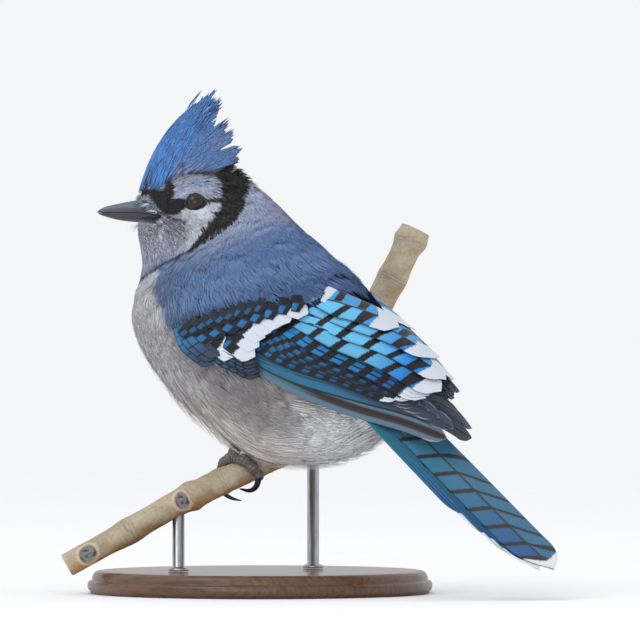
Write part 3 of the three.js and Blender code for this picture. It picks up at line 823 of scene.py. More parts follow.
HEAD_MARKS = [
    # grey throat, paler and lilac towards the collar
    Mark("#9ca3b3", 3.0, [(-54, 149), (-44, 149), (-36, 140), (-33, 133), (-54, 124)]),
    Mark("#a7b0cb", 2.5, [(-54, 138), (-44, 141), (-36, 140), (-31, 136), (-36, 132), (-56, 122)],
         strength=0.8),
    Mark("#8b8a90", 2.0, [(-53, 148.6), (-46, 148.4), (-42, 145), (-46, 141), (-53, 142)], strength=0.6),
    # bristly patch between the eye and the nostril
    Mark("#8293a3", 1.0, [(-55, 152), (-55, 160.2), (-46, 160.4), (-43.4, 157), (-43, 152.4), (-48, 151)]),
    # bright cheek
    Mark("#ced6e0", 1.2, [
        (-36.2, 150.4), (-32.2, 153), (-25.8, 154.6), (-20.2, 156.8), (-16.6, 155.4), (-17.6, 151.2),
        (-21, 148), (-23.8, 145), (-27, 141), (-30.6, 138.6), (-34.6, 144.4),
    ]),
    # dusky streaks from the gape below the cheek
    Mark("#666a76", 2.8, [
        (-46, 151.4), (-41, 151.4), (-36.6, 150), (-32.6, 148), (-31.4, 144.6), (-34, 141.4),
        (-38, 142.6), (-42, 146.4), (-45.6, 148.4),
    ], strength=0.85),
    # blue cap
    Mark("#3f77bf", 0.9, [
        (-56, 161), (-49, 161.4), (-43.6, 161.4), (-40.6, 164.4), (-38.4, 167.2), (-36.4, 168.8),
        (-29.8, 170), (-22, 170.2), (-16, 171.6), (-7, 172.4), (-6, 210), (-56, 210),
    ]),
    # dusky band between the cap and the brow
    Mark("#6d759b", 1.6, [
        (-38.6, 165, 1.2), (-35.6, 167.2, 1.6), (-28, 168.6, 1.8), (-21, 168, 1.8), (-15, 168, 1.2),
    ], stroke=True, strength=0.8),
    Mark("#2f3350", 1.0, [(-30, 168.4, 0.5), (-24, 167.8, 1.0), (-17, 166.6, 1.4)], stroke=True,
         strength=0.75),
    # whitish lilac brow
    Mark("#abb6d6", 1.2, [
        (-37.8, 157.4), (-37, 161.6), (-34.4, 164.6), (-29.6, 165.8), (-23.2, 165.4), (-19.6, 163.2),
        (-17.4, 160.8), (-16.4, 158.4), (-21, 157.2), (-25.4, 157.3), (-28.6, 159), (-32.8, 158.1),
        (-35, 157.1),
    ]),
    Mark("#cdd5e6", 0.8, [(-36.2, 158.6, 0.7), (-31, 161.4, 1.4), (-24, 160.8, 1.3),
                          (-19.6, 159.8, 0.6)], stroke=True, strength=0.8),
    # black collar from the nape down to the throat
    Mark("#120b0d", 0.5, [
        (-14.6, 173.6), (-10.4, 173.6), (-7.6, 170.6), (-6.6, 165.2), (-7.2, 160), (-8.2, 154.2),
        (-9.8, 148.6), (-13.4, 144.4), (-19.4, 139.8), (-27.4, 134.4), (-30, 133.4), (-29.3, 137),
        (-28, 140.4), (-25.4, 144), (-22.8, 148.4), (-19.2, 153.2), (-17.8, 158.4), (-19.2, 163.6),
        (-21.4, 167.6), (-17.8, 170.4),
    ]),
    # black lores and the band over the bill
    Mark("#121016", 0.45, [
        (-46.3, 161.4), (-42, 161.4), (-40.2, 166.4), (-37.1, 163.6), (-37.8, 157.8),
        (-33.6, 157.9), (-32, 156), (-32.2, 153.4), (-37.1, 150.9), (-41.8, 151.4),
        (-44.8, 155), (-47.2, 158.6),
    ]),
    Mark("#14131b", 0.5, [(-54, 160.4, 1.1), (-49, 160.9, 1.3), (-44, 160.4, 1.6)], stroke=True),
    Mark("#15162a", 0.5, [(-49.6, 161.4, 0.8), (-48, 165.4, 0.3)], stroke=True, strength=0.9),
    Mark("#1a1c33", 0.5, [(-39.6, 164, 1.2), (-38.6, 168.6, 0.5)], stroke=True, strength=0.85),
    # black line behind the eye
    Mark("#141118", 0.3, [(-26.4, 156.3, 1.25), (-23.6, 156.5, 0.8), (-16, 157.2, 0.85)], stroke=True),
    # whiskery lines of the chin and the moustache
    Mark("#3a3a44", 0.5, [(-47, 148.2, 0.5), (-42.6, 146, 0.5), (-38.4, 142.4, 0.4)], stroke=True,
         strength=0.8),
    Mark("#24222b", 0.5, [(-41.4, 151, 0.6), (-36.6, 148.9, 0.65), (-32.4, 147.8, 0.4)], stroke=True,
         strength=0.85),
]
# The thin dark necklace that joins the collar's ends across the throat.
NECKLACE = [
    (-28, 136.4, 1.1), (-32, 135.2, 0.9), (-35, 134, 0.75), (-39.4, 132.4, 0.65),
    (-43.6, 130.5, 0.6), (-47.8, 127.6, 0.6), (-53.6, 123.4, 0.6),
]
# The line from the nape along the collar and the necklace, where the head's markings end.
COLLAR_LINE = [
    (-14, 174), (-8, 171), (-6.8, 165.2), (-7.4, 160), (-8.4, 154.2), (-10.2, 148.6), (-13.8, 144.6),
    (-20, 140.2), (-28, 135.4), (-35, 133.6), (-43.6, 130.3), (-47.8, 127.4), (-60, 119),
]


@dataclass(frozen=True)
class Plumage:
    """The body's colours at any place on the trunk, the same for the skin and the coat."""

    face: str = "#b9bec9"
    mantle: str = "#5f7fb2"
    mantle_dull: str = "#6a7b9c"
    shoulder: str = "#5b7194"
    nape: str = "#a6b2cf"
    nape_middle: str = "#a9a6bb"
    breast: str = "#c4c3c9"
    breast_pale: str = "#c4c7d3"
    belly: str = "#d8cbc4"
    belly_white: str = "#fbf5f0"
    flank: str = "#bdbcbc"
    # painted shadow of the folded wing on the flank
    flank_painted_shadow: str = "#6f6768"
    vent: str = "#f4f6fa"
    rump: str = "#6b8cb8"
    necklace: str = "#1e2138"
    edge_mm: float = 0.35
    sides: Table = (
        (5.5, 146), (7, 124), (8.2, 115), (9.2, 108), (10.2, 106), (10.8, 88), (12, 60), (16, 60),
    )

    @staticmethod
    def below_throat(profile: Points) -> Numbers:
        """How far places lie behind and below the collar and necklace, positive beyond them."""
        return -outline_depth(profile, [(-60, 215), *reversed(COLLAR_LINE), (-14, 215)])

    def colours(self, place: Numbers, angle: Numbers) -> Numbers:
        """The plumage's linear colour.

        Args:
            place: fractional stations of the trunk.
            angle: degrees from the top.

        Returns:
            N x 3 linear colours.
        """
        profile = TRUNK.straight(place, angle)[:, (0, 2)]
        marks = ((mark.colour, mark.cover(profile)) for mark in HEAD_MARKS)
        colour = laid(plain(self.face, len(place)), *marks)
        beyond = ease(self.below_throat(profile), -self.edge_mm, self.edge_mm)[:, None]
        colour = colour * (1 - beyond) + self.body(place, from_top(angle)) * beyond
        ring = ease(stroke_depth(profile, NECKLACE), -self.edge_mm, self.edge_mm) * (place < NECK_END)
        return laid(colour, (self.necklace, ring * 0.9))

    def body(self, place: Numbers, around: Numbers) -> Numbers:
        """The colours behind the collar.

        Args:
            place: fractional stations of the trunk.
            around: degrees from the top, either side.

        Returns:
            N x 3 linear colours.
        """
        nape = (1 - ease(place, 6.9, 8.7)) * (1 - ease(around, 72, 104))
        above = laid(
            plain(self.mantle, len(place)),
            (self.mantle_dull, 0.6 * ease(around, 40, 85) * ease(place, 9.6, 7)),
            (self.shoulder, 0.8 * ease(around, 82, 104) * ease(place, 7.2, 8.4)),
            (self.nape, nape),
            (self.nape_middle, 0.45 * nape * ease(around, 26, 10)),
            (self.rump, ease(place, 12, 14)),
        )
        # Painted shadow: the flank is darkened along the folded wing's lower edge, where the wing's shadow
        # falls.
        shaded = ease(around, 124, 102) * ease(place, 14.6, 12.4) * ease(place, 9.5, 11)
        below = laid(
            plain(self.breast, len(place)),
            (self.breast_pale, ease(place, 8.4, 6.6)),
            (self.belly, 0.75 * ease(place, 10.8, 12.6) * ease(around, 108, 126)),
            (self.flank, ease(place, 11.2, 12.8) * ease(around, 126, 106)),
            (self.belly_white, 0.8 * ease(place, 11.6, 13.2) * ease(around, 116, 136)),
            (self.vent, ease(place, 13.2, 14.6)),
            (self.flank_painted_shadow, 0.52 * shaded),
        )
        under = ease(around - between(self.sides, place), -4, 4)[:, None]
        return above * (1 - under) + below * under


PLUMAGE = Plumage()
EYE_AT = (-29.2, 156.0)
EYE_OPENING = 3.75
# The bill's bare base in the head's profile, which the face's feathers leave free.
BILL_BASE = [
    (-60, 147.7), (-50, 147.6), (-45.4, 147.4), (-43.2, 149), (-41.8, 150.4), (-43.4, 152.4),
    (-46, 155.2), (-49.4, 157.6), (-60, 158.4),
]
COAT_DEPTHS = ((0, 0.5), (2, 0.7), (5, 0.9), (6.5, 1.1), (9, 1.3), (11, 1.6), (16, 1.8))


def coat_depth(place: Numbers, angle: Numbers) -> Numbers:
    """How deep the skin lies under the coat's surface, more so on the crown."""
    crown = 0.9 * ease(from_top(angle), 70, 30) * ease(place, 0.5, 2) * ease(place, 7, 5)
    return between(COAT_DEPTHS, place) + crown


def face_sink(place: Numbers, angle: Numbers) -> Numbers:
    """How far the face is drawn in beside the bill."""
    return 2.1 * bell(place, 1.1, 1.35) * bell(from_top(angle), 96, 36)


@dataclass(frozen=True)
class Skin:
    """One skin from the bill's root to the tail's, inside the coat by its depth."""

    columns: int = 200
    rows: int = 200
    shrink_rows: float = 0.02
    # how much darker the skin is painted than the coat, as shade under the feathers
    shade: float = 0.88
    # painted shade: the near black of the skin sunk into the hollow round the bill's root
    bill_hollow_shade: str = "#24262e"
    bare_depth: float = 4.6

    def spot(self, along_share: Numbers) -> Numbers:
        """The trunk's station for shares along the skin."""
        return TRUNK_END * np.clip((along_share - self.shrink_rows) / (1 - 2 * self.shrink_rows), 0, 1)

    def place(self, round_share: Numbers, along_share: Numbers) -> Points:
        """Where the skin's points lie.

        Args:
            round_share: shares round the skin, from 0 to 1.
            along_share: shares along it.

        Returns:
            The points.
        """
        place, angle = self.spot(along_share), round_share * 360 - 180
        depth = coat_depth(place, angle) + face_sink(place, angle)
        bare = outline_depth(TRUNK.straight(place, angle)[:, (0, 2)], BILL_BASE)
        bared = ease(bare, -0.4, 1.0) * (place < FACE_END)
        points = TRUNK.point(place, angle, -depth - self.bare_depth * bared)
        middle = (TRUNK.point(place, 0 * angle) + TRUNK.point(place, 0 * angle + 180)) / 2
        end = from_end(along_share, self.shrink_rows)
        points = middle + (points - middle) * np.sqrt(end)[:, None]
        return np.round(points, 5)

    def paint(self, round_share: Numbers, along_share: Numbers) -> Numbers:
        """The coat's own markings, darkened a little as painted shade under the feathers."""
        place, angle = self.spot(along_share), round_share * 360 - 180
        bare = outline_depth(TRUNK.straight(place, angle)[:, (0, 2)], BILL_BASE)
        colour = PLUMAGE.colours(place, angle) * self.shade
        # Painted shade darkens the skin where it is sunk into the hollow at the bill's root.
        return laid(colour, (self.bill_hollow_shade, ease(bare, -0.6, 0.2) * (place < FACE_END)))

    def build(self, finish: bpy.types.Material) -> bpy.types.Object:
        """Makes the skin and paints it with the coat's markings.

        Args:
            finish: the skin's material.

        Returns:
            The piece.
        """
        mesh = warped_grid("skin", self.columns, self.rows, self.place, self.paint, True)
        piece = mesh_object("skin", mesh, finish)
        return settle(piece, "mantle_feathers", "head", "neck", "torso")


# Tufts


class Tufts:
    """Gathers thin pointed blades and joins them as one piece.

    A blade is a closed leaf of eight points with a low ridge. Its root is sunk in the skin.
    """

    FACES = np.array([
        (0, 1, 2), (0, 2, 3), (0, 3, 1),
        (1, 4, 5), (1, 5, 2), (2, 5, 6), (2, 6, 3), (1, 3, 6), (1, 6, 4),
        (4, 7, 5), (5, 7, 6), (6, 7, 4),
    ])
    SPOT = np.array([
        (0, -1), (-0.9, -0.4), (0, -0.3), (0.9, -0.4), (-0.8, 0.5), (0, 0.4), (0.8, 0.5), (0, 1)
    ]) * 0.0015
    POINTS = len(SPOT)
    RIDGE = 0.24
    def __init__(self) -> None:
        """Starts with no blades."""
        self.points: list[Points] = []
        self.colours: list[Numbers] = []
        self.places: list[Numbers] = []

    def add(
        self,
        path: list[Points],
        out: Points,
        width: Numbers,
        colours: tuple[Numbers, Numbers, Numbers],
        uv: Numbers,
        shape: tuple[float, float] = (1.0, 0.72),
    ) -> None:
        """Adds N blades.

        Args:
            path: their points at the root, the belly, the shoulder and the tip, each N x 3.
            out: the directions away from the skin.
            width: their widths.
            colours: their colours at the root, the middle and the tip.
            uv: their roots' places on the skin's unwrap.
            shape: their widths at the belly and the shoulder as shares.
        """
        root, belly, shoulder, tip = path
        ahead = unit(tip - root)
        side = unit(np.cross(out, ahead))
        lift = unit(np.cross(ahead, side))
        wide = (width / 2)[:, None]
        verts = [root]
        for middle, share in ((belly, shape[0]), (shoulder, shape[1])):
            verts += [
                middle - side * wide * share,
                middle + lift * wide * share * self.RIDGE,
                middle + side * wide * share,
            ]
        verts.append(tip)
        self.points.append(np.stack(verts, 1).reshape(-1, 3))
        low, middle, high = colours
        # Painted light across each blade: the ridge's middle is painted lighter as a highlight and its sides
        # darker as shade.
        upper = mix(middle, high, 0.6)
        painted_shading = [low, *(middle * light_across for light_across in (0.97, 1.05, 0.97))]
        painted_shading += [*(upper * light_across for light_across in (0.98, 1.04, 0.98)), high]
        self.colours.append(np.stack(painted_shading, 1).reshape(-1, 3))
        self.places.append((uv[:, None, :] + self.SPOT[None]).reshape(-1, 2))
    def build(self, name: str, finish: bpy.types.Material) -> bpy.types.Object:
        """Joins the blades as one object.

        Args:
            name: the piece's name.
            finish: its material.

        Returns:
            The object, not yet riding.
        """
        points = np.concatenate(self.points)
        starts = np.arange(len(points) // self.POINTS) * self.POINTS
        faces = (starts[:, None, None] + self.FACES[None]).reshape(-1, 3)
        mesh = array_mesh(name, points, faces)
        add_colours(mesh, "plumage", np.clip(np.concatenate(self.colours), 0, 1))
        add_map(mesh, "OFBake", np.concatenate(self.places))
        return mesh_object(name, mesh, finish)


@dataclass(frozen=True)
class Region:
    """A stretch of coat that becomes one piece, with the number of barbs to a feather."""

    name: str
    slot: str
    places: tuple[float, float]
    around: tuple[float, float]
    barbs: int


@dataclass(frozen=True)
class Coat:
    """The contour feathers over the skin: each a fan of narrow blades along the body's lie.

    pitch is how far apart feathers are as a share of their length. hidden gives the stations from
    and to which wings and tail cover the back, up to so many degrees, and the share kept there.
    """

    regions: tuple[Region, ...] = (
        Region("coat_forehead", "crown_feathers", (0, 3), (0, 90), 7),
        Region("coat_chin", "crown_feathers", (0, 3), (90, 180), 8),
        Region("coat_crown", "crown_feathers", (3, 6.2), (0, 62), 12),
        Region("coat_cheeks", "crown_feathers", (3, 6.2), (62, 120), 19),
        Region("coat_throat", "crown_feathers", (3, 6.2), (120, 180), 24),
        Region("coat_nape", "mantle_feathers", (6.2, 8.2), (0, 100), 34),
        Region("coat_neck_front", "mantle_feathers", (6.2, 8.6), (100, 180), 36),
        Region("coat_mantle", "mantle_feathers", (8.2, 12), (0, 100), 44),
        Region("coat_breast", "mantle_feathers", (8.6, 11), (100, 180), 58),
        Region("coat_belly", "mantle_feathers", (11, 13.4), (84, 180), 66),
        Region("coat_vent", "mantle_feathers", (13.4, 16), (0, 180), 48),
    )
    lengths: Table = (
        (0, 1.3), (1, 1.6), (2, 2.2), (3.5, 3.1), (5, 4.2), (6.5, 6.5), (8, 8.5), (10, 10.5), (12, 13),
        (16, 15),
    )
    widths: Table = (
        (0, 0.24), (2, 0.3), (4, 0.36), (6, 0.42), (8, 0.5), (12, 0.56), (16, 0.56),
    )
    wing_edge: Table = ((20, 10.74), (47, 10.72), (66, 10.25), (79, 9.95), (92, 9.85), (110, 9.7))
    pitch: float = 0.46
    hidden: tuple[float, float, float, float] = (11, 15, 74, 0.35)

    def centres(self, draw: np.random.Generator) -> tuple[Numbers, Numbers]:
        """Spreads feather roots evenly over the trunk.

        Args:
            draw: the seeded source of chance.

        Returns:
            Their stations and angles.
        """
        places, angles = [], []
        ring_count = 361
        round_angles = np.linspace(-180, 180, ring_count)
        place = 0.06
        while place < TRUNK_END - 0.05:
            ring = np.full(ring_count, place)
            along, across, _ = TRUNK.directions(ring, round_angles)
            run = np.linalg.norm(along, axis=1)
            arc = np.concatenate([[0], np.cumsum(np.linalg.norm(across, axis=1)[:-1])])
            gap = float(between(self.lengths, place)) * self.pitch
            number = max(int(arc[-1] / (gap * 0.9)), 8)
            at = (np.arange(number) + draw.uniform(0, 1) + draw.uniform(-0.32, 0.32, number)) % number
            found = np.interp(at / number * arc[-1], arc, round_angles)
            step = gap / run.max()
            kept = draw.uniform(0, 1, number) < 1.05 * np.interp(found, round_angles, run) / run.max()
            places.append(place + step * draw.uniform(-0.4, 0.4, kept.sum()))
            angles.append(found[kept])
            place += step
        return np.clip(np.concatenate(places), 0.02, TRUNK_END - 0.05), np.concatenate(angles)

    def build(self, finishes: dict[str, bpy.types.Material]) -> list[bpy.types.Object]:
        """Makes every region's piece.

        Args:
            finishes: the material for each slot.

        Returns:
            The pieces.
        """
        draw = np.random.default_rng(SEED)
        place, angle = self.centres(draw)
        around = np.abs(angle)
        low, high, side, kept = self.hidden
        hidden = (place > low) & (place < high) & (around < side)
        keep = ~hidden | (draw.uniform(0, 1, len(place)) < kept)
        place, angle, around = place[keep], angle[keep], around[keep]
        length = between(self.lengths, place) * draw.uniform(0.85, 1.2, len(place))
        length *= 1 + 0.4 * ease(around, 110, 150) * ease(place, 1, 3) * ease(place, 7, 6)
        pieces = []
        for region in self.regions:
            inside = (
                (place >= region.places[0]) & (place < region.places[1])
                & (around >= region.around[0]) & (around <= region.around[1])
            )
            tufts = Tufts()
            self.fan(tufts, place[inside], angle[inside], length[inside], region.barbs, draw)
            piece = tufts.build(region.name, finishes[region.slot])
            pieces.append(settle(piece, region.slot))
        return pieces

    def fan(
        self, tufts: Tufts, place: Numbers, angle: Numbers, length: Numbers, barbs: int,
        draw: np.random.Generator,
    ) -> None:
        """Adds the barbs of contour feathers.

        Args:
            tufts: where they are gathered.
            place: the feathers' stations.
            angle: their angles.
            length: their lengths.
            barbs: how many blades each has.
            draw: the seeded source of chance.
        """
        feathers = len(place)
        number = feathers * barbs
        spread = np.tile(np.linspace(-1, 1, barbs), feathers) + draw.uniform(-0.12, 0.12, number)
        owner = np.repeat(np.arange(feathers), barbs)
        sway = np.repeat(draw.normal(0, 0.07, feathers), barbs) + draw.normal(0, 0.05, number)
        start, turn, full = place[owner], angle[owner], length[owner]
        around = np.abs(turn)
        along, across, out = TRUNK.directions(start, turn)
        run = np.linalg.norm(along, axis=1)
        arc = np.maximum(np.linalg.norm(across, axis=1), 0.02)
        reach = full * (1 - 0.25 * spread**2) * draw.uniform(0.82, 1.12, number)
        profile = TRUNK.straight(start, turn)[:, (0, 2)]
        brink = PLUMAGE.below_throat(profile)
        reach = reach * (1 - 0.42 * bell(brink, -3.2, 2.6) * (start < NECK_END))
        root_off, tip_off = spread * full * 0.2, (spread * 0.38 + sway) * full
        root_place = start + draw.uniform(0, 0.3, number) * full / run
        depth = coat_depth(start, turn)
        loose = ease(start, 9.5, 12.5) * ease(around, 84, 130)
        low = ease(start, 9.5, 11.5) * ease(around, 110, 150)
        wispy = ease(start, 7.5, 11) * ease(around, 96, 140)
        wisp = (draw.uniform(0, 1, number) < 0.03 + 0.05 * low) * wispy
        reach = reach * (1 + (0.5 + 0.3 * low) * wisp)
        tip_height = (
            -0.15 * depth + self.over_wing(start, turn) + self.ruff(start, turn) + self.over_crest(profile)
            + (1.5 + 1.5 * low) * wisp
            + draw.normal(0, 0.08, number) * (1 - 0.35 * loose)
        )
        path = []
        for share in BLADE:
            at = root_place + share * reach / run
            swung = turn + (root_off + (tip_off - root_off) * share) / arc
            height = mix(-depth - 0.3, tip_height, share**0.7) - face_sink(at, swung)
            path.append(TRUNK.point(np.minimum(at, TRUNK_END), swung, height))
        beyond = np.maximum(root_place + reach / run - TRUNK_END, 0) * run
        for share, points in zip(BLADE[1:], path[1:]):
            points += np.array([0.9, 0, -0.32]) * (beyond * share)[:, None]
        width = between(self.widths, start) * draw.uniform(0.75, 1.25, number) * (1 - 0.3 * wisp)
        seen = 0.84
        shown = root_place + seen * reach / run + draw.normal(0, 0.015, number)
        colour = PLUMAGE.colours(shown, turn + tip_off * seen / arc)
        colour = self.streak(colour, shown, turn, owner, draw)
        keep = self.clear(path, number)
        uv = np.stack([((turn + 180) % 360) / 360, start / TRUNK_END], 1)
        colour = colour[keep]
        # The roots are painted darker as shade deep in the coat, and the tips a little lighter as painted
        # light.
        tufts.add(
            [points[keep] for points in path], out[keep], width[keep],
            (colour * 0.9, colour, colour * 1.04), uv[keep],
        )

    @staticmethod
    def streak(
        colour: Numbers, place: Numbers, angle: Numbers, owner: np.ndarray, draw: np.random.Generator
    ) -> Numbers:
        """Varies barbs and whole feathers: faint on the body, streaky on chin, throat and cheek.

        Args:
            colour: the barbs' colours.
            place: their stations.
            angle: their angles.
            owner: the feather that each belongs to.
            draw: the seeded source of chance.

        Returns:
            The varied colours.
        """
        number, feathers = len(owner), int(owner.max()) + 1
        around = from_top(angle)
        face = ease(place, 6.6, 5.2) * np.maximum(ease(around, 84, 100), ease(place, 2.4, 1.8))
        tint = draw.normal(1, 0.03, feathers)[owner] * draw.normal(1, 0.045, number)
        face = face * ease(colour.mean(1), 0.03, 0.1)
        dark = draw.uniform(0, 1, number) < 0.28 * face
        pale = draw.uniform(0, 1, number) < 0.25 * face
        colour = laid(colour, ("#444753", 0.6 * dark), ("#f2f4f8", 0.6 * pale * ~dark))
        return colour * tint[:, None]

    def over_wing(self, place: Numbers, angle: Numbers) -> Numbers:
        """How much higher the tips stand where they lie over the folded wing's front."""
        around = np.abs(angle)
        edge = between(self.wing_edge, around)
        return 4.4 * ease(place, 8.7, 9.6) * ease(around, 118, 106) * ease(place, edge - 0.25, edge - 0.6)

    @staticmethod
    def over_crest(profile: Points) -> Numbers:
        """How much higher the brow's feathers stand where they lie over the crest's foot."""
        x, z = profile[:, 0], profile[:, 1]
        return 1.5 * bell(z, 165.6, 1.9) * ease(x, -42, -38.5) * ease(x, -17, -20)

    @staticmethod
    def ruff(place: Numbers, angle: Numbers) -> Numbers:
        """How much higher the black feathers stand at the top of the nape, under the crest."""
        return 2.4 * bell(place, 5.35, 0.5) * bell(angle, 0, 34)

    @staticmethod
    def clear(path: list[Points], number: int) -> np.ndarray:
        """Which blades keep clear of the eyes' openings and the bill's base.

        Args:
            path: the blades' points.
            number: how many blades there are.

        Returns:
            True for each blade that is kept.
        """
        kept = np.ones(number, bool)
        for share, points in enumerate(path):
            straight = turned(points, -HEAD_TURN)
            away = np.hypot(straight[:, 0] - EYE_AT[0], straight[:, 2] - EYE_AT[1])
            kept &= (away > EYE_OPENING) | (np.abs(straight[:, 1]) < 8)
            near = straight[:, 0] < -40
            if share and near.any():
                bare = outline_depth(straight[near][:, (0, 2)], BILL_BASE)
                kept[near] &= bare < 0.2
        return kept


class HeadProfile:
    """Half the straight head's width at places of its profile, tabled from its own form."""

    STEP = 0.5
    LOW = np.array([-60.0, 118.0])
    SIZE = 140

    def __init__(self) -> None:
        """Tables the widest point over each cell of the profile, softened a little."""
        place, angle = np.meshgrid(np.linspace(0, 8, 420), np.linspace(0, 180, 420))
        points = TRUNK.straight(place.ravel(), angle.ravel())
        cells = np.round((points[:, (0, 2)] - self.LOW) / self.STEP).astype(int)
        cells = np.clip(cells, 1, self.SIZE - 2)
        table = np.zeros((self.SIZE, self.SIZE))
        np.maximum.at(table, (cells[:, 0], cells[:, 1]), np.abs(points[:, 1]))
        inner = self.SIZE - 1
        for _ in range(2):
            table[1:-1, 1:-1] = sum(
                table[1 + i : inner + i, 1 + j : inner + j] for i in (-1, 0, 1) for j in (-1, 0, 1)
            ) / 9
        self.table = table

    def read(self, x: Numbers, z: Numbers) -> Numbers:
        """Half the width at profile places, 0 outside the head."""
        at = np.clip((np.stack([x, z], -1) - self.LOW) / self.STEP, 0, self.SIZE - 1.01)
        cell = at.astype(int)
        (column, row), (over, up) = np.moveaxis(cell, -1, 0), np.moveaxis(at - cell, -1, 0)
        low = self.table[column, row] * (1 - over) + self.table[column + 1, row] * over
        high = self.table[column, row + 1] * (1 - over) + self.table[column + 1, row + 1] * over
        return low * (1 - up) + high * up


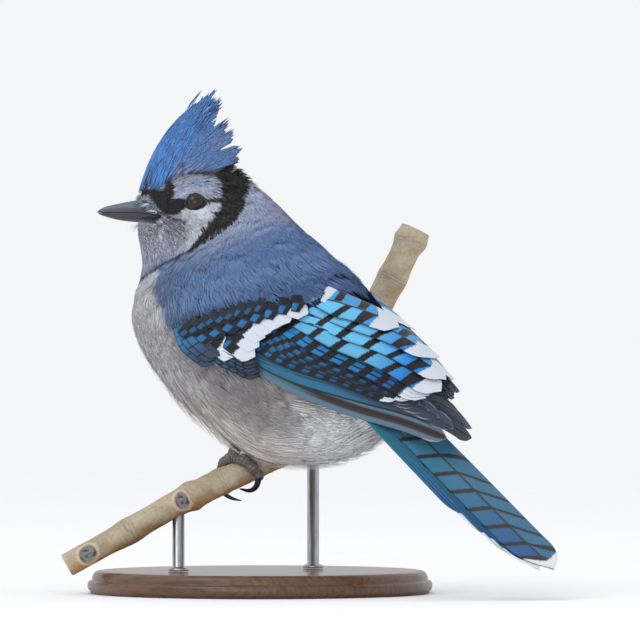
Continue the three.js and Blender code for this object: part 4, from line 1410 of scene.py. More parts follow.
@dataclass
class Crest:
    """The raised crest: long narrow feathers that sweep up from the brow to a ragged edge.

    A row is one line of feathers in the profile: the root's x and z, the bend's and the tip's.
    """

    rows: Numbers = field(default_factory=lambda: np.array([
        (-52.4, 160.4, -46.3, 183.4, -29.2, 196.6),
        (-50.6, 161.2, -44.6, 182.6, -30.4, 194.4),
        (-48.2, 161.6, -42.4, 181.6, -26.6, 198),
        (-45.6, 161.6, -40.2, 180.4, -25.2, 197.2),
        (-43.2, 161.8, -37.8, 179.4, -22.6, 200.2),
        (-41.8, 163.4, -35.6, 178.4, -19.9, 194),
        (-40.4, 165.4, -33.6, 177.4, -21.6, 187.4),
        (-38.6, 166.6, -31.6, 176.8, -16.2, 189.6),
        (-36.2, 167.6, -29.2, 175.6, -14.8, 183.4),
        (-33.6, 168.2, -26.8, 174.4, -15.4, 179.4),
        (-30.8, 168.6, -24.2, 173.4, -11.8, 178.4),
        (-27.4, 168.8, -21.2, 172.4, -12.8, 175.2),
        (-23.8, 169, -17.8, 171.4, -10.8, 172.4),
    ]))
    front: Table = (
        (158, -53), (160, -52.6), (171.6, -48.8), (181.2, -43.2), (190, -36), (195.6, -30.9), (201, -27),
    )
    back: Table = (
        (158, -8), (171, -9.6), (178.4, -11.9), (183, -14.4), (189.6, -15.6), (193.4, -19.4), (197, -21),
        (201, -22.3),
    )
    thick: Table = (
        (158, 13), (168, 10.4), (174, 8), (180, 6), (188, 3.9), (194, 2.4), (198, 1.3), (202, 0.6),
    )
    blades: int = 9800
    locks: int = 44
    wisps: Table = (
        (-33, 193, -26.9, 201.4), (-26.4, 194, -23.9, 200.8), (-25, 195, -22.4, 200.8),
        (-28.6, 193, -26.2, 199.4), (-20.8, 185, -15.4, 190.2), (-22, 184, -16.6, 190.4),
        (-17, 175, -11.4, 179.2), (-16, 174, -10.6, 178),
    )
    profile: HeadProfile = field(default_factory=HeadProfile)

    def flow(self, row: Numbers, height: Numbers) -> tuple[Numbers, Numbers]:
        """Profile places at fractional rows and shares of their length."""
        values = smooth_read(self.rows, row)
        weights = ((1 - height) ** 2, 2 * height * (1 - height), height**2)
        return tuple(
            sum(weight * values[..., 2 * i + axis] for i, weight in enumerate(weights)) for axis in (0, 1)
        )

    def half_width(self, x: Numbers, z: Numbers) -> Numbers:
        """Half the thickness of crest and crown together at profile places."""
        front, back = between(self.front, z), between(self.back, z)
        off = (x - (front + back) / 2) / np.maximum((back - front) / 2, 0.5)
        sheet = between(self.thick, z) * np.clip(1 - off**2, 0, 1) ** 0.5
        head = self.profile.read(x, z)
        return (sheet + head + np.sqrt((sheet - head) ** 2 + 1.2)) / 2 - 0.35

    def outward(self, x: Numbers, z: Numbers, side: Numbers) -> Points:
        """The directions out of the crest's side."""
        slope_x = self.half_width(x + 0.5, z) - self.half_width(x - 0.5, z)
        slope_z = self.half_width(x, z + 0.5) - self.half_width(x, z - 0.5)
        return unit(np.stack([-slope_x, side, -slope_z], -1))

    def build(self, finish: bpy.types.Material) -> list[bpy.types.Object]:
        """Makes the crest's core and feathers.

        Args:
            finish: the crest's material.

        Returns:
            The pieces.
        """
        draw = np.random.default_rng(SEED + 1)
        tufts = Tufts()
        self.cover(tufts, draw)
        self.add_wisps(tufts, draw)
        piece = tufts.build("crest_feathers", finish)
        return [self.core(finish), settle(piece, "crown_feathers")]

    def core(self, finish: bpy.types.Material) -> bpy.types.Object:
        """Makes the thin core that closes the crest to the light.

        Args:
            finish: the crest's material.

        Returns:
            The piece.
        """
        last = len(self.rows) - 1

        def place(round_share: Numbers, along_share: Numbers) -> Points:
            """Points over the left side and back over the right, from the roots up."""
            row = last * (1 - np.abs(1 - 2 * round_share))
            side = np.where(round_share < 0.5, 1.0, -1.0)
            x, z = self.flow(0.5 + row * (last - 1) / last, mix(0.02, 0.8, along_share))
            close = from_end(along_share, 0.1) ** 0.5 * from_end(row / last, 1 / last) ** 0.5
            y = side * close * np.maximum(self.half_width(x, z) - 1.2, 0.1) * 0.86
            return np.round(turned(np.stack([x, y, z], 1), HEAD_TURN), 5)

        def paint(round_share: Numbers, along_share: Numbers) -> Numbers:
            """The crest's plain blue in shade."""
            return plain("#33619e", len(round_share))

        mesh = warped_grid("crest_core", 80, 30, place, paint)
        return settle(mesh_object("crest_core", mesh, finish), "crown_feathers")

    def cover(self, tufts: Tufts, draw: np.random.Generator) -> None:
        """Adds the feathers that lie over the crest's sides.

        Args:
            tufts: where they are gathered.
            draw: the seeded source of chance.
        """
        count, last = self.blades, len(self.rows) - 1
        row = draw.uniform(0, last, count)
        x_low, z_low = self.flow(row, 0 * row)
        x_high, z_high = self.flow(row, 0 * row + 1)
        full = np.hypot(x_high - x_low, z_high - z_low) * 1.08
        start = draw.uniform(-0.03, 0.9, count) - 0.17 * ease(row, 5.5, 7.5) * draw.uniform(0, 1, count)
        end = np.minimum(start + draw.uniform(6, 13, count) / full, 1.06)
        start = np.minimum(start, end - 4.5 / full)
        side = np.where(draw.uniform(0, 1, count) < 0.5, -1.0, 1.0)
        inner = mix(0.6, 1.0, draw.uniform(0, 1, count) ** 0.35)
        drift = draw.normal(0, 0.12, count)
        locks = np.sort(draw.uniform(0, last, self.locks))
        lock = np.abs(row[:, None] - locks[None]).argmin(1)
        short = (0.11 * draw.uniform(0, 1, self.locks) ** 1.5)[lock] + 0.11 * draw.uniform(0, 1, count) ** 2
        end = np.where(end > 0.86 - short, end - short * ease(end, 0.8, 1), end)
        path = []
        for share in BLADE:
            at = mix(start, end, share)
            gathered = (locks[lock] - row) * 0.85 * ease(at, 0.6, 1.0)
            x, z = self.flow(np.clip(row + drift * share + gathered, 0, last), at)
            away = self.half_width(x, z) * inner + mix(-0.7, 0.05, share**0.7)
            path.append(turned(np.stack([x, side * np.maximum(away, 0.02), z], 1), HEAD_TURN))
        out = turned(self.outward(x, z, side), HEAD_TURN, 0.0)
        colour = self.colours(row, mix(start, end, 0.8), draw)
        width = draw.uniform(0.4, 0.72, count)
        uv = np.stack([0.5 + side * 0.12, mix(0.06, 0.36, row / last)], 1)
        # The roots are painted darker as shade deep in the crest, and the tips a little lighter as painted
        # light.
        tufts.add(path, out, width, (colour * 0.82, colour, colour * 1.06), uv, (1.0, 0.8))

    def add_wisps(self, tufts: Tufts, draw: np.random.Generator) -> None:
        """Adds the stray feathers whose points stand clear of the ragged edge.

        Args:
            tufts: where they are gathered.
            draw: the seeded source of chance.
        """
        each = 5
        table = np.repeat(np.array(self.wisps), each, 0)
        shift = draw.normal(0, 0.22, (len(table), 2))
        path = []
        for share in BLADE:
            spot = table[:, :2] + (table[:, 2:] - table[:, :2]) * share + shift * (1.3 - share)
            spot[:, 0] -= 0.3 * math.sin(math.pi * share)
            points = np.stack([spot[:, 0], draw.normal(0, 0.2, len(table)), spot[:, 1]], 1)
            path.append(turned(points, HEAD_TURN))
        out = turned(np.tile([0.0, -1.0, 0.1], (len(table), 1)), HEAD_TURN, 0.0)
        colour = plain("#3c69ad", len(table)) * draw.normal(0.9, 0.15, len(table))[:, None]
        uv = np.tile([0.5, 0.2], (len(table), 1))
        tufts.add(path, out, draw.uniform(0.25, 0.45, len(table)), (colour, colour, colour), uv)

    @staticmethod
    def colours(row: Numbers, height: Numbers, draw: np.random.Generator) -> Numbers:
        """The crest's blues: azure in front, dull over the brow, lilac and dark behind.

        Args:
            row: fractional rows from front to back.
            height: shares of the rows' length.
            draw: the seeded source of chance.

        Returns:
            The colours.
        """
        count = len(row)
        streaky = draw.uniform(0, 1, count)
        brow = ease(row, 5.6, 6.6)
        forehead = ease(np.abs(row - 1.3), 0.8, 0.3) + ease(np.abs(row - 4.9), 0.7, 0.3)
        streaks = ease(np.abs(row - 4.7), 0.9, 0.3) * ease(height, 0.55, 0.85)
        streaks = streaks + ease(np.abs(row - 7), 0.7, 0.2) * ease(height, 0.86, 0.97)
        colour = laid(
            plain("#4180c8", count),
            ("#3f79bd", 0.8 * ease(height, 0.35, 0.9)),
            ("#527db3", 0.7 * ease(row, 4.5, 7.5)),
            ("#6a80b0", 0.6 * ease(row, 6.8, 7.6) * ease(row, 10, 9.2) * ease(height, 0.55, 0.8)),
            ("#7482aa", 0.8 * ease(row, 5.2, 7) * ease(height, 0.46, 0.18)),
            ("#3b405e", 0.8 * brow * ease(height, 0.36, 0.2) * (streaky < 0.42)),
            ("#a3abc8", 0.5 * brow * ease(height, 0.22, 0.12) * (streaky > 0.5)),
            ("#3d4363", 0.7 * ease(row, 10.6, 12) * ease(height, 0.6, 0.9)),
            ("#1b1b2c", 0.9 * np.clip(forehead, 0, 1) * ease(height, 0.27, 0.14)),
            ("#1b1b2c", 0.95 * ease(row, 5.2, 4) * ease(height, 0.05, 0.0)),
            ("#24304f", 0.7 * np.clip(streaks, 0, 1) * (streaky < 0.42)),
            ("#5f6794", 0.5 * (streaky > 0.9) * ease(height, 0.1, 0.3)),
        )
        return colour * draw.normal(1, 0.1, count)[:, None]


@dataclass(frozen=True)
class Bill:
    """The bill: two horn halves with a closed seam, in the straight head's frame."""

    ridge: Table = (
        (-69, 152.35), (-68.4, 153.2), (-67.2, 154), (-65.4, 154.75), (-63, 155.4), (-59.4, 156.15),
        (-55.4, 156.95), (-52, 157.5), (-46.2, 158.2), (-44, 158.3),
    )
    seam: Table = (
        (-69, 152.2), (-64, 152.3), (-58, 152.35), (-52, 152.3), (-47.4, 151.8), (-44, 150.9),
    )
    keel: Table = (
        (-68.4, 151.75), (-67, 151.15), (-64.4, 150.3), (-61.4, 149.5), (-58, 148.9), (-54, 148.5),
        (-50, 148.2), (-46.2, 147.7), (-44, 147.4),
    )
    halves: Table = (
        (-69, 0.35), (-67.5, 0.95), (-64, 1.75), (-60, 2.6), (-56, 3.6), (-52, 5.1), (-49, 6.6),
        (-46.5, 7.9), (-44, 8.8),
    )
    tips: tuple[float, float] = (-69.0, -68.4)
    root: float = -43.6
    open_mm: float = 0.1
    ends: float = 0.03

    def side_at(self, x: Numbers, z: Numbers, upper: bool = True) -> Numbers:
        """Half the bill's width at profile places."""
        seam, far = between(self.seam, x), between(self.ridge if upper else self.keel, x)
        rise = np.clip((z - seam) / (far - seam), 0, 1)
        return between(self.halves, x) * np.sqrt(1 - rise**2)

    def half(self, upper: bool) -> bpy.types.Mesh:
        """One half of the bill.

        Args:
            upper: whether it is the upper one.

        Returns:
            The closed mesh.
        """
        start = self.tips[0] if upper else self.tips[1]

        def place(round_share: Numbers, along_share: Numbers) -> Points:
            """Points round the half's section and along it."""
            body = np.clip((along_share - self.ends) / (1 - 2 * self.ends), 0, 1)
            x = mix(start, self.root, body**1.35)
            seam = between(self.seam, x) + (self.open_mm if upper else -self.open_mm)
            far = between(self.ridge if upper else self.keel, x)
            wide = between(self.halves, x) * (1.0 if upper else 0.93)
            turn = 2 * np.pi * round_share
            up, side = np.sin(turn), np.cos(turn)
            dome = np.where(up > 0, np.abs(up) ** 0.86, -0.06 * np.abs(up))
            flare = np.sign(side) * np.abs(side) ** mix(0.82, 0.9, body)
            y = wide * flare * (1 - 0.12 * np.clip(up, 0, 1) * body)
            shrink = from_end(along_share, self.ends) ** 0.5
            middle = seam + (far - seam) * 0.4
            z = middle + (seam + (far - seam) * dome - middle) * shrink
            points = self.nostril(np.stack([x, y * shrink, z], 1), upper)
            return np.round(turned(points, HEAD_TURN), 5)

        mesh = warped_grid("bill_half", 48, 60, place)
        add_colours(mesh, "plumage", self.colours(turned(points_of(mesh), -HEAD_TURN), upper))
        return mesh

    @staticmethod
    def nostril(points: Points, upper: bool) -> Points:
        """Sinks the oval nostrils, which the bristles mostly hide."""
        if upper:
            away = np.hypot((points[:, 0] + 53) / 1.3, (points[:, 2] - 155.4) / 0.7)
            points[:, 1] -= 0.7 * ease(away, 1, 0.3) * np.sign(points[:, 1])
        return points

    def colours(self, straight: Points, upper: bool) -> Numbers:
        """The horn's colours: bluish slate above, lightened along the top of the upper half by a painted
        reflection, near black along the seam and below.

        Args:
            straight: N points in the straight head's frame.
            upper: whether they are the upper half's.

        Returns:
            N x 3 linear colours.
        """
        x, z = straight[:, 0], straight[:, 2]
        seam, ridge = between(self.seam, x), between(self.ridge, x)
        rise = np.clip((z - seam) / np.maximum(ridge - seam, 0.4), -1, 1)
        if not upper:
            under = ease(z - between(self.keel, x), 1.6, 0)
            return laid(
                plain("#2d2e37", len(x)), ("#41434f", under), ("#1f2028", ease(rise, -0.3, 0))
            )
        return laid(
            plain("#343e4c", len(x)),
            # painted reflection: the top of the upper half is lighter
            ("#55697c", 0.85 * ease(rise, 0.35, 0.8)),
            ("#262a33", ease(rise, 0.3, 0.02)),
            ("#2b323c", 0.7 * ease(x, -66, -69)),
        )

    def build(self, finish: bpy.types.Material) -> list[bpy.types.Object]:
        """Makes both halves.

        Args:
            finish: the horn.

        Returns:
            The pieces.
        """
        pieces = []
        for name, upper in (("bill_top", True), ("bill_bottom", False)):
            node = "bill_upper" if upper else "bill_lower"
            pieces.append(settle(mesh_object(name, self.half(upper), finish), "bill", node))
        return pieces


@dataclass
class Whiskers:
    """The stiff bristles that sweep forward from the face over the bill's root."""

    bill: Bill
    count: int = 900
    roots: Table = (
        (0, -43, 151.6, 8.4), (0.25, -43.4, 154.2, 8.2), (0.5, -44.6, 157.2, 6.8),
        (0.75, -47, 159.2, 4.4), (1, -49.8, 159.8, 1),
    )
    tips: Table = (
        (0, -48.4, 152.4), (0.25, -51.4, 153.6), (0.5, -53.4, 155.2), (0.75, -53.8, 156.6),
        (1, -54.2, 157.6),
    )
    hairs: int = 46

    def build(self, finish: bpy.types.Material) -> bpy.types.Object:
        """Makes the bristles of both sides and the chin's hairs.

        Args:
            finish: the material.

        Returns:
            The piece.
        """
        draw = np.random.default_rng(SEED + 2)
        tufts = Tufts()
        rise = draw.uniform(0, 1, self.count)
        side = np.where(draw.uniform(0, 1, self.count) < 0.5, -1.0, 1.0)
        reach = draw.uniform(0.45, 1, self.count) ** 0.7
        roots, tips = np.array(self.roots), np.array(self.tips)
        root = np.stack([np.interp(rise, roots[:, 0], roots[:, i]) for i in (1, 2, 3)], 1)
        tip = np.stack([np.interp(rise, tips[:, 0], tips[:, i]) for i in (1, 2)], 1)
        root[:, :2] += draw.normal(0, 0.4, (self.count, 2)) * (1 - 0.6 * rise)[:, None]
        tip = root[:, :2] + (tip + draw.normal(0, 0.3, (self.count, 2)) - root[:, :2]) * reach[:, None]
        lift = draw.uniform(0.1, 0.5, self.count) * (1 - 0.5 * rise)
        path = []
        for share in BLADE:
            spot = root[:, :2] + (tip - root[:, :2]) * share
            bow = 0.7 * math.sin(math.pi * share) * (0.3 + rise)
            x, z = spot[:, 0], spot[:, 1] + bow
            ridge = between(self.bill.ridge, x)
            rest = self.bill.side_at(x, np.minimum(z, ridge - 0.1))
            y = mix(root[:, 2] + 0.4, rest + lift, min(1.0, share * 1.3)) + 0.8 * math.sin(math.pi * share)
            z = np.where(rise > 0.8, np.maximum(z, ridge + 0.1), z)
            path.append(turned(np.stack([x, side * y, z], 1), HEAD_TURN))
        out = np.stack([0 * side, side * mix(1.0, 0.35, rise), mix(0.2, 1.0, rise)], 1)
        pick = draw.uniform(0, 1, self.count)
        colour = laid(
            plain("#8d9fae", self.count), ("#dbe3ea", 1.0 * (pick < 0.36)), ("#252c36", 0.9 * (pick > 0.62))
        )
        uv = np.stack([0.5 + side * 0.2, 0.02 + 0 * rise], 1)
        width = draw.uniform(0.18, 0.34, self.count)
        # The roots are painted darker as shade among the face's feathers.
        tufts.add(path, turned(unit(out), HEAD_TURN, 0.0), width, (colour * 0.9, colour, colour), uv)
        self.chin(tufts, draw)
        return settle(tufts.build("nasal_bristles", finish), "crown_feathers")

    def chin(self, tufts: Tufts, draw: np.random.Generator) -> None:
        """Adds the few thin hairs under the bill that point forward and down.

        Args:
            tufts: where they are gathered.
            draw: the seeded source of chance.
        """
        count = self.hairs
        x, y = draw.uniform(-51.5, -47, count), draw.uniform(-4, 4, count)
        root = np.stack([x, y, 148.4 + 0 * x], 1)
        tip = root + np.stack([draw.uniform(-6.5, -2.5, count), 0.2 * y, draw.uniform(-4.5, -2, count)], 1)
        path = [
            turned(root + (tip - root) * share + np.array([0, 0, 0.9 * share * (1 - share)]), HEAD_TURN)
            for share in BLADE
        ]
        out = turned(np.tile([-0.6, 0.0, -0.8], (count, 1)), HEAD_TURN, 0.0)
        colour = plain("#8a8d96", count) * draw.uniform(0.5, 1.3, count)[:, None]
        uv = np.tile([0.02, 0.02], (count, 1))
        tufts.add(path, out, draw.uniform(0.12, 0.24, count), (colour, colour, colour), uv)


@dataclass(frozen=True)
class Eyes:
    """Round glossy eyes with a thin black lid, in the straight head's frame."""

    side: float = 11.1
    radius: float = 4.3
    iris: float = 3.15
    pupil: float = 2.2
    lid_radius: float = 3.45
    lid_tube: float = 0.52

    def ball(self, side: Side) -> bpy.types.Mesh:
        """The eyeball, coloured in rings about its axis.

        Args:
            side: which eye.

        Returns:
            The mesh.
        """
        shape = bmesh.new()
        bmesh.ops.create_uvsphere(shape, u_segments=64, v_segments=40, radius=self.radius * MM)
        mesh = finished("eyeball", shape)
        points = points_of(mesh)[:, [0, 2, 1]] * np.array([1, 1, -1])
        away = np.hypot(points[:, 0], points[:, 2])
        colour = laid(
            plain("#08070a", len(points)),
            ("#281817", ease(away, self.pupil, self.pupil + 0.4)),
            ("#120c0d", ease(away, self.iris - 0.35, self.iris + 0.1)),
        )
        add_colours(mesh, "plumage", colour)
        placed = points + np.array([EYE_AT[0], side.value * self.side, EYE_AT[1]])
        mesh.vertices.foreach_set("co", (turned(placed, HEAD_TURN) * MM).astype(np.float32).ravel())
        return mesh

    def lid(self, side: Side) -> bpy.types.Mesh:
        """The bare rim round the eye, a low ring with a small point at its corners.

        Args:
            side: which eye.

        Returns:
            The closed mesh.
        """
        def place(round_share: Numbers, along_share: Numbers) -> Points:
            """Points round the tube and round the eye."""
            tube, ring = 2 * np.pi * round_share, 2 * np.pi * along_share
            corner = 0.5 * bell(np.cos(ring), 1, 0.05) + 0.6 * bell(np.cos(ring), -1, 0.05)
            crease = 1 + 0.12 * np.cos(ring * 14)
            away = self.lid_radius + corner + self.lid_tube * np.cos(tube) * crease
            y = 2.62 + 0.75 * self.lid_tube * np.sin(tube) - 0.25 * corner
            points = np.stack([
                EYE_AT[0] + away * np.cos(ring),
                side.value * (self.side + y),
                EYE_AT[1] + away * np.sin(ring) * 0.96,
            ], 1)
            return np.round(turned(points, HEAD_TURN), 5)

        mesh = warped_grid("eyelid", 12, 84, place)
        add_colours(mesh, "plumage", plain("#14110f", len(mesh.vertices)))
        return mesh

    def build(self, glass: bpy.types.Material, rim: bpy.types.Material) -> list[bpy.types.Object]:
        """Makes both eyes and their lids.

        Args:
            glass: the wet eyeball.
            rim: the lid's skin.

        Returns:
            The pieces.
        """
        pieces = []
        for side in Side:
            label = side.name.lower()
            ball = mesh_object(f"eyeball_{label}", self.ball(side), glass)
            pieces.append(settle(ball, "eye", f"eye_{label}"))
            pieces.append(settle(mesh_object(f"eyelid_{label}", self.lid(side), rim), "crown_feathers"))
        return pieces


# Flight feathers


@dataclass(frozen=True)
class Pattern:
    """How a feather is coloured, with lengths in millimetres.

    The outer web lies on the lower side of a folded wing's feather and shows, and the inner web is
    tucked under its neighbour. slants are how far the bars move towards the tip for each
    millimetre off the shaft: on the outer web, then on the inner web's first and last part.
    """

    root: str
    tip: str
    inner: str
    bar_mm: float = 0.0
    bar_share: float = 0.0
    white_mm: float = -9.0
    slants: tuple[float, float, float] = (-0.4, -0.4, -0.4)
    inner_bars: bool = False
    edge: str = "#15131b"
    edge_from: float = 0.86
    stagger: float = 0.0
    blend: tuple[float, float] = (0.35, 0.98)
    fade: float = 0.0
    fringe: str = ""
    under: str = "#6d737e"


@dataclass(frozen=True)
class VaneGroup:
    """A row of a wing's feathers.

    roots and tips are places on the bed from the lowest feather to the highest, as (station,
    degrees). lift is the height over the bed at the root and along the rest, and step how far
    each outer edge stands over the next feather. A sweep above 1 keeps feathers together longer,
    and stack lifts each a little more than the one before.
    """

    name: str
    count: int
    width: tuple[float, float]
    lift: tuple[float, float]
    step: float
    roots: tuple[tuple[float, float], ...]
    tips: tuple[tuple[float, float], ...]
    pattern: Pattern
    long: bool = False
    blunt: float = 0.16
    spacing: float = 0.0
    sweep: float = 1.0
    stack: float = 0.0
    lowest: Pattern | None = None

    def pattern_of(self, number: int) -> Pattern:
        """A feather's own pattern. The lowest may differ."""
        return self.lowest if number == 0 and self.lowest else self.pattern


AZURE = Pattern(
    "#62b4de", "#0f78cc", "#3f93cc", 10.8, 0.29, 9.5, (-0.6, 0.2, 0.2), True,
    edge_from=0.9, stagger=0.5, blend=(0.45, 0.8), under="#59708c",
)
# The slants of the coverts' bars, and the white length of a feather without a white tip.
COVERT_SLANTS = (-0.4, 0, 0)
UNTIPPED = -9
WING_GROUPS = [
    VaneGroup(
        "primary", 7, (7.2, 8.8), (-2.4, -1.7), 0.42, ((2.2, 82), (2.2, 71)),
        ((7.15, 77), (6.98, 48), (6.5, 50), (6.15, 51), (5.9, 50.5), (5.75, 50), (5.6, 49)),
        Pattern("#28698b", "#2f384c", "#39435a", edge="#151c28", edge_from=0.84, blend=(0.42, 0.76),
                fringe="#a3a1a8", under="#8892a6"),
        True, 0.1, sweep=1.5,
        lowest=Pattern("#396a7e", "#35292a", "#2b2425", edge="#5b7282", edge_from=0.42, blend=(0.3, 0.45),
                       fringe="#cfcac6"),
    ),
    VaneGroup(
        "secondary", 5, (8, 8.4), (-2.0, -0.5), 0.4, ((1.95, 75), (1.95, 61)), ((5.45, 56), (5.75, 46)),
        Pattern("#1b5f92", "#153f70", "#454f63", 5.4, 0.52, 6.4, (-0.5, 0, 0), edge="#101a2e",
                edge_from=0.74, under="#5d6679"),
        True, 0.12,
    ),
    VaneGroup(
        "inner_secondary", 3, (9.4, 10.4), (-2.0, 0.3), 0.45, ((1.95, 58), (1.95, 51)),
        ((5.85, 43), (5.85, 33)),
        Pattern("#1579ba", "#17508f", "#454f63", 7.4, 0.46, 9.4, (-0.5, 0, 0), edge="#101a2e",
                edge_from=0.78, under="#5d6679"),
        True, 0.12,
    ),
    VaneGroup(
        "tertial", 4, (13, 16), (-1.5, 1.6), 0.85, ((1.9, 50), (1.85, 45), (1.75, 38), (1.5, 33)),
        ((5.95, 25), (5.62, 8), (4.9, 2), (3.65, 6)), AZURE, True, 0.14, 6.8, stack=0.35,
    ),
    VaneGroup(
        "greater_covert", 9, (8.4, 8.8), (-2.0, 1.3), 0.5,
        ((1.35, 86), (1.42, 75), (1.5, 64), (1.5, 52), (1.4, 30)),
        ((2.45, 83), (2.68, 77.5), (2.5, 71.5), (2.32, 66.5), (2.26, 62), (2.22, 57.5), (2.2, 53),
         (2.15, 48.5), (1.95, 22)),
        Pattern("#1c66a4", "#164f86", "#11151f", 5.6, 0.5, 7.2, COVERT_SLANTS, edge_from=0.8),
    ),
    VaneGroup(
        "primary_covert", 6, (6.2, 6.2), (-2.0, 0.6), 0.5, ((1.4, 92), (1.4, 85)), ((3.22, 85), (2.78, 78)),
        Pattern("#215a84", "#283549", "#1b2331", 3.6, 0.28, UNTIPPED, COVERT_SLANTS, edge_from=0.84),
    ),
    VaneGroup(
        "median_covert", 8, (7.2, 7.6), (-2.4, 1.7), 0.5, ((1.15, 90), (1.5, 48)), ((1.85, 85), (1.78, 40)),
        Pattern("#1c6ca6", "#175c96", "#101520", 5.6, 0.48, UNTIPPED, COVERT_SLANTS, edge_from=0.8),
    ),
    VaneGroup(
        "lesser_covert", 9, (6.6, 6.6), (-3.4, 1.8), 0.5, ((0.9, 95), (1.2, 62)), ((1.45, 91), (1.5, 56)),
        Pattern("#1e5a81", "#174f7a", "#162030", 5.0, 0.54, UNTIPPED, COVERT_SLANTS, edge_from=0.82),
    ),
    VaneGroup(
        "alula", 3, (6.4, 6.4), (-2.4, 1.9), 0.6, ((0.95, 99), (0.95, 94)), ((2.4, 93.5), (2.25, 88.5)),
        Pattern("#2a74a6", "#34465f", "#2c3a4d", 5.2, 0.1, UNTIPPED, COVERT_SLANTS, edge="#131a26",
                edge_from=0.86, blend=(0.3, 0.8)),
    ),
]


class Vanes:
    """Gathers thin closed feather vanes and joins them as one piece."""

    ACROSS = np.array([-1, -0.93, -0.8, -0.55, -0.3, -0.1, 0, 0.1, 0.3, 0.55, 0.8, 0.93, 1])
    COLUMNS = len(ACROSS)
    ROWS = 30

    def __init__(self, draw: np.random.Generator) -> None:
        """Starts with no vanes."""
        self.draw = draw
        self.points: list[Points] = []
        self.colours: list[Numbers] = []
        self.bars: list[Points] = []
        self.webs: list[Points] = []

    def shares(self) -> Numbers:
        """Places along a vane, closer together towards its tip."""
        return 1 - (1 - np.linspace(0, 1, self.ROWS)) ** 1.5

    def half_widths(self, width: float, long: bool, blunt: float) -> Numbers:
        """Half widths along a vane: a slim root, full sides and a round tip.

        Args:
            width: its full width.
            long: whether it is a long feather, with a slimmer root.
            blunt: the share of its length that the round tip takes.

        Returns:
            A half width for each of its rows.
        """
        along = self.shares()
        grown = mix(0.45 if long else 0.6, 1.0, ease(along, 0, 0.35 if long else 0.5))
        tip = np.clip((along - (1 - blunt)) / blunt, 0, 1)
        round_tip = np.sqrt(np.clip(1 - tip**2.2, 0, 1))
        frayed = 1 + 0.02 * self.draw.normal(0, 1, self.ROWS) * ease(along, 0.3, 0.8)
        return width / 2 * grown * np.maximum(round_tip, 0.04) * frayed

    def add(
        self,
        at: Points,
        across: Points,
        out: Points,
        half: Numbers,
        lean: float,
        sag: float,
        thick: float,
        pattern: Pattern,
        length: float,
    ) -> None:
        """Adds a vane over frames along its length.

        Args:
            at: the shaft's points.
            across: the directions towards the outer web.
            out: the directions out of the upper face.
            half: half widths.
            lean: how much the outer edge stands higher, per millimetre across.
            sag: how much the edges droop, per square millimetre.
            thick: the thickness at the shaft.
            pattern: its colours.
            length: its length.
        """
        around = np.concatenate([self.ACROSS, self.ACROSS[::-1]])
        upper = np.concatenate([np.ones(self.COLUMNS), -np.ones(self.COLUMNS)])
        shares = self.shares()
        wide = half[:, None] * around[None]
        body = thick / 2 * np.sqrt(np.clip(1.02 - around**2, 0, 1))
        body = body * np.linspace(1, 0.55, self.ROWS)[:, None]
        shaft = 0.16 * bell(around, 0, 0.09) * np.linspace(1, 0.3, self.ROWS)[:, None]
        height = lean * wide - sag * wide**2 + upper * (body + shaft * (upper > 0))
        sweep = self.tip_sweep(shares, around)
        ahead = unit(np.gradient(at, axis=0))
        points = (
            at[:, None] + across[:, None] * wide[..., None] + out[:, None] * height[..., None]
            + ahead[:, None] * sweep[..., None]
        )
        self.points.append(points.reshape(-1, 3))
        shape = (self.ROWS, len(around))
        places = np.broadcast_to(around, shape).ravel()
        along = np.broadcast_to(shares[:, None], shape).ravel()
        top = np.broadcast_to(upper, shape).ravel() > 0
        self.paint(places, along, top, np.abs(wide).ravel(), pattern, length)

    @staticmethod
    def tip_sweep(shares: Numbers, around: Numbers) -> Numbers:
        """How far points lag behind the shaft near the tip, which rounds it."""
        return -1.2 * (around[None] ** 2) * ease(shares, 0.75, 1)[:, None]

    def paint(
        self, across: Numbers, along: Numbers, top: np.ndarray, off: Numbers, pattern: Pattern,
        length: float,
    ) -> None:
        """Stores the colours and pattern values of a vane's points.

        Args:
            across: places across, from the inner edge at -1 to the outer at 1.
            along: shares along.
            top: which points are on the upper face.
            off: distances from the shaft.
            pattern: its colours.
            length: its length.
        """
        blend = ease(along, *pattern.blend)[:, None]
        colour = linear(pattern.root) * (1 - blend) + linear(pattern.tip) * blend
        colour = colour * self.draw.normal(1, 0.06)
        edge = ease(np.abs(across), pattern.edge_from, pattern.edge_from + 0.1)
        colour = laid(colour, (pattern.inner, ease(across, 0.02, -0.06)), (pattern.edge, edge))
        from_tip = (1 - along) * length
        if pattern.fringe:
            near_rim = np.maximum(ease(np.abs(across), 0.84, 0.97), ease(from_tip, 0.9, 0.2))
            colour = laid(colour, (pattern.fringe, 0.75 * near_rim * ease(from_tip, 12, 7)))
        colour = np.where(top[:, None], colour, linear(pattern.under))
        phase, share = 0 * along, 0 * along - 0.3
        if pattern.bar_mm:
            white_end = max(pattern.white_mm, 0)
            outer, first, last = pattern.slants
            slant = np.where(across < 0, mix(first, last, ease(along, 0.35, 0.6)), outer)
            phase = (from_tip - white_end + slant * off) / pattern.bar_mm
            phase = phase + self.draw.normal(0, 0.05) + pattern.stagger * (across < 0)
            barred = top & ((across > -0.01) | pattern.inner_bars)
            period = pattern.bar_mm
            wider = 0.95 * (white_end > 0) * ease(from_tip - white_end, 0.92 * period, 0.6 * period)
            share = np.where(barred, pattern.bar_share * (1 + wider), -0.3)
            share = share * mix(1, ease(np.abs(across), 1.15, 0.9), pattern.fade)
        white = np.where(top & (pattern.white_mm > 0), pattern.white_mm + 0.25 * off - from_tip, -9)
        self.colours.append(colour)
        self.bars.append(np.stack([phase + 0.5 - np.maximum(share, 0) / 2, share, white], 1))
        self.webs.append(np.stack([across, along * length, along * length - 0.9 * off], 1))

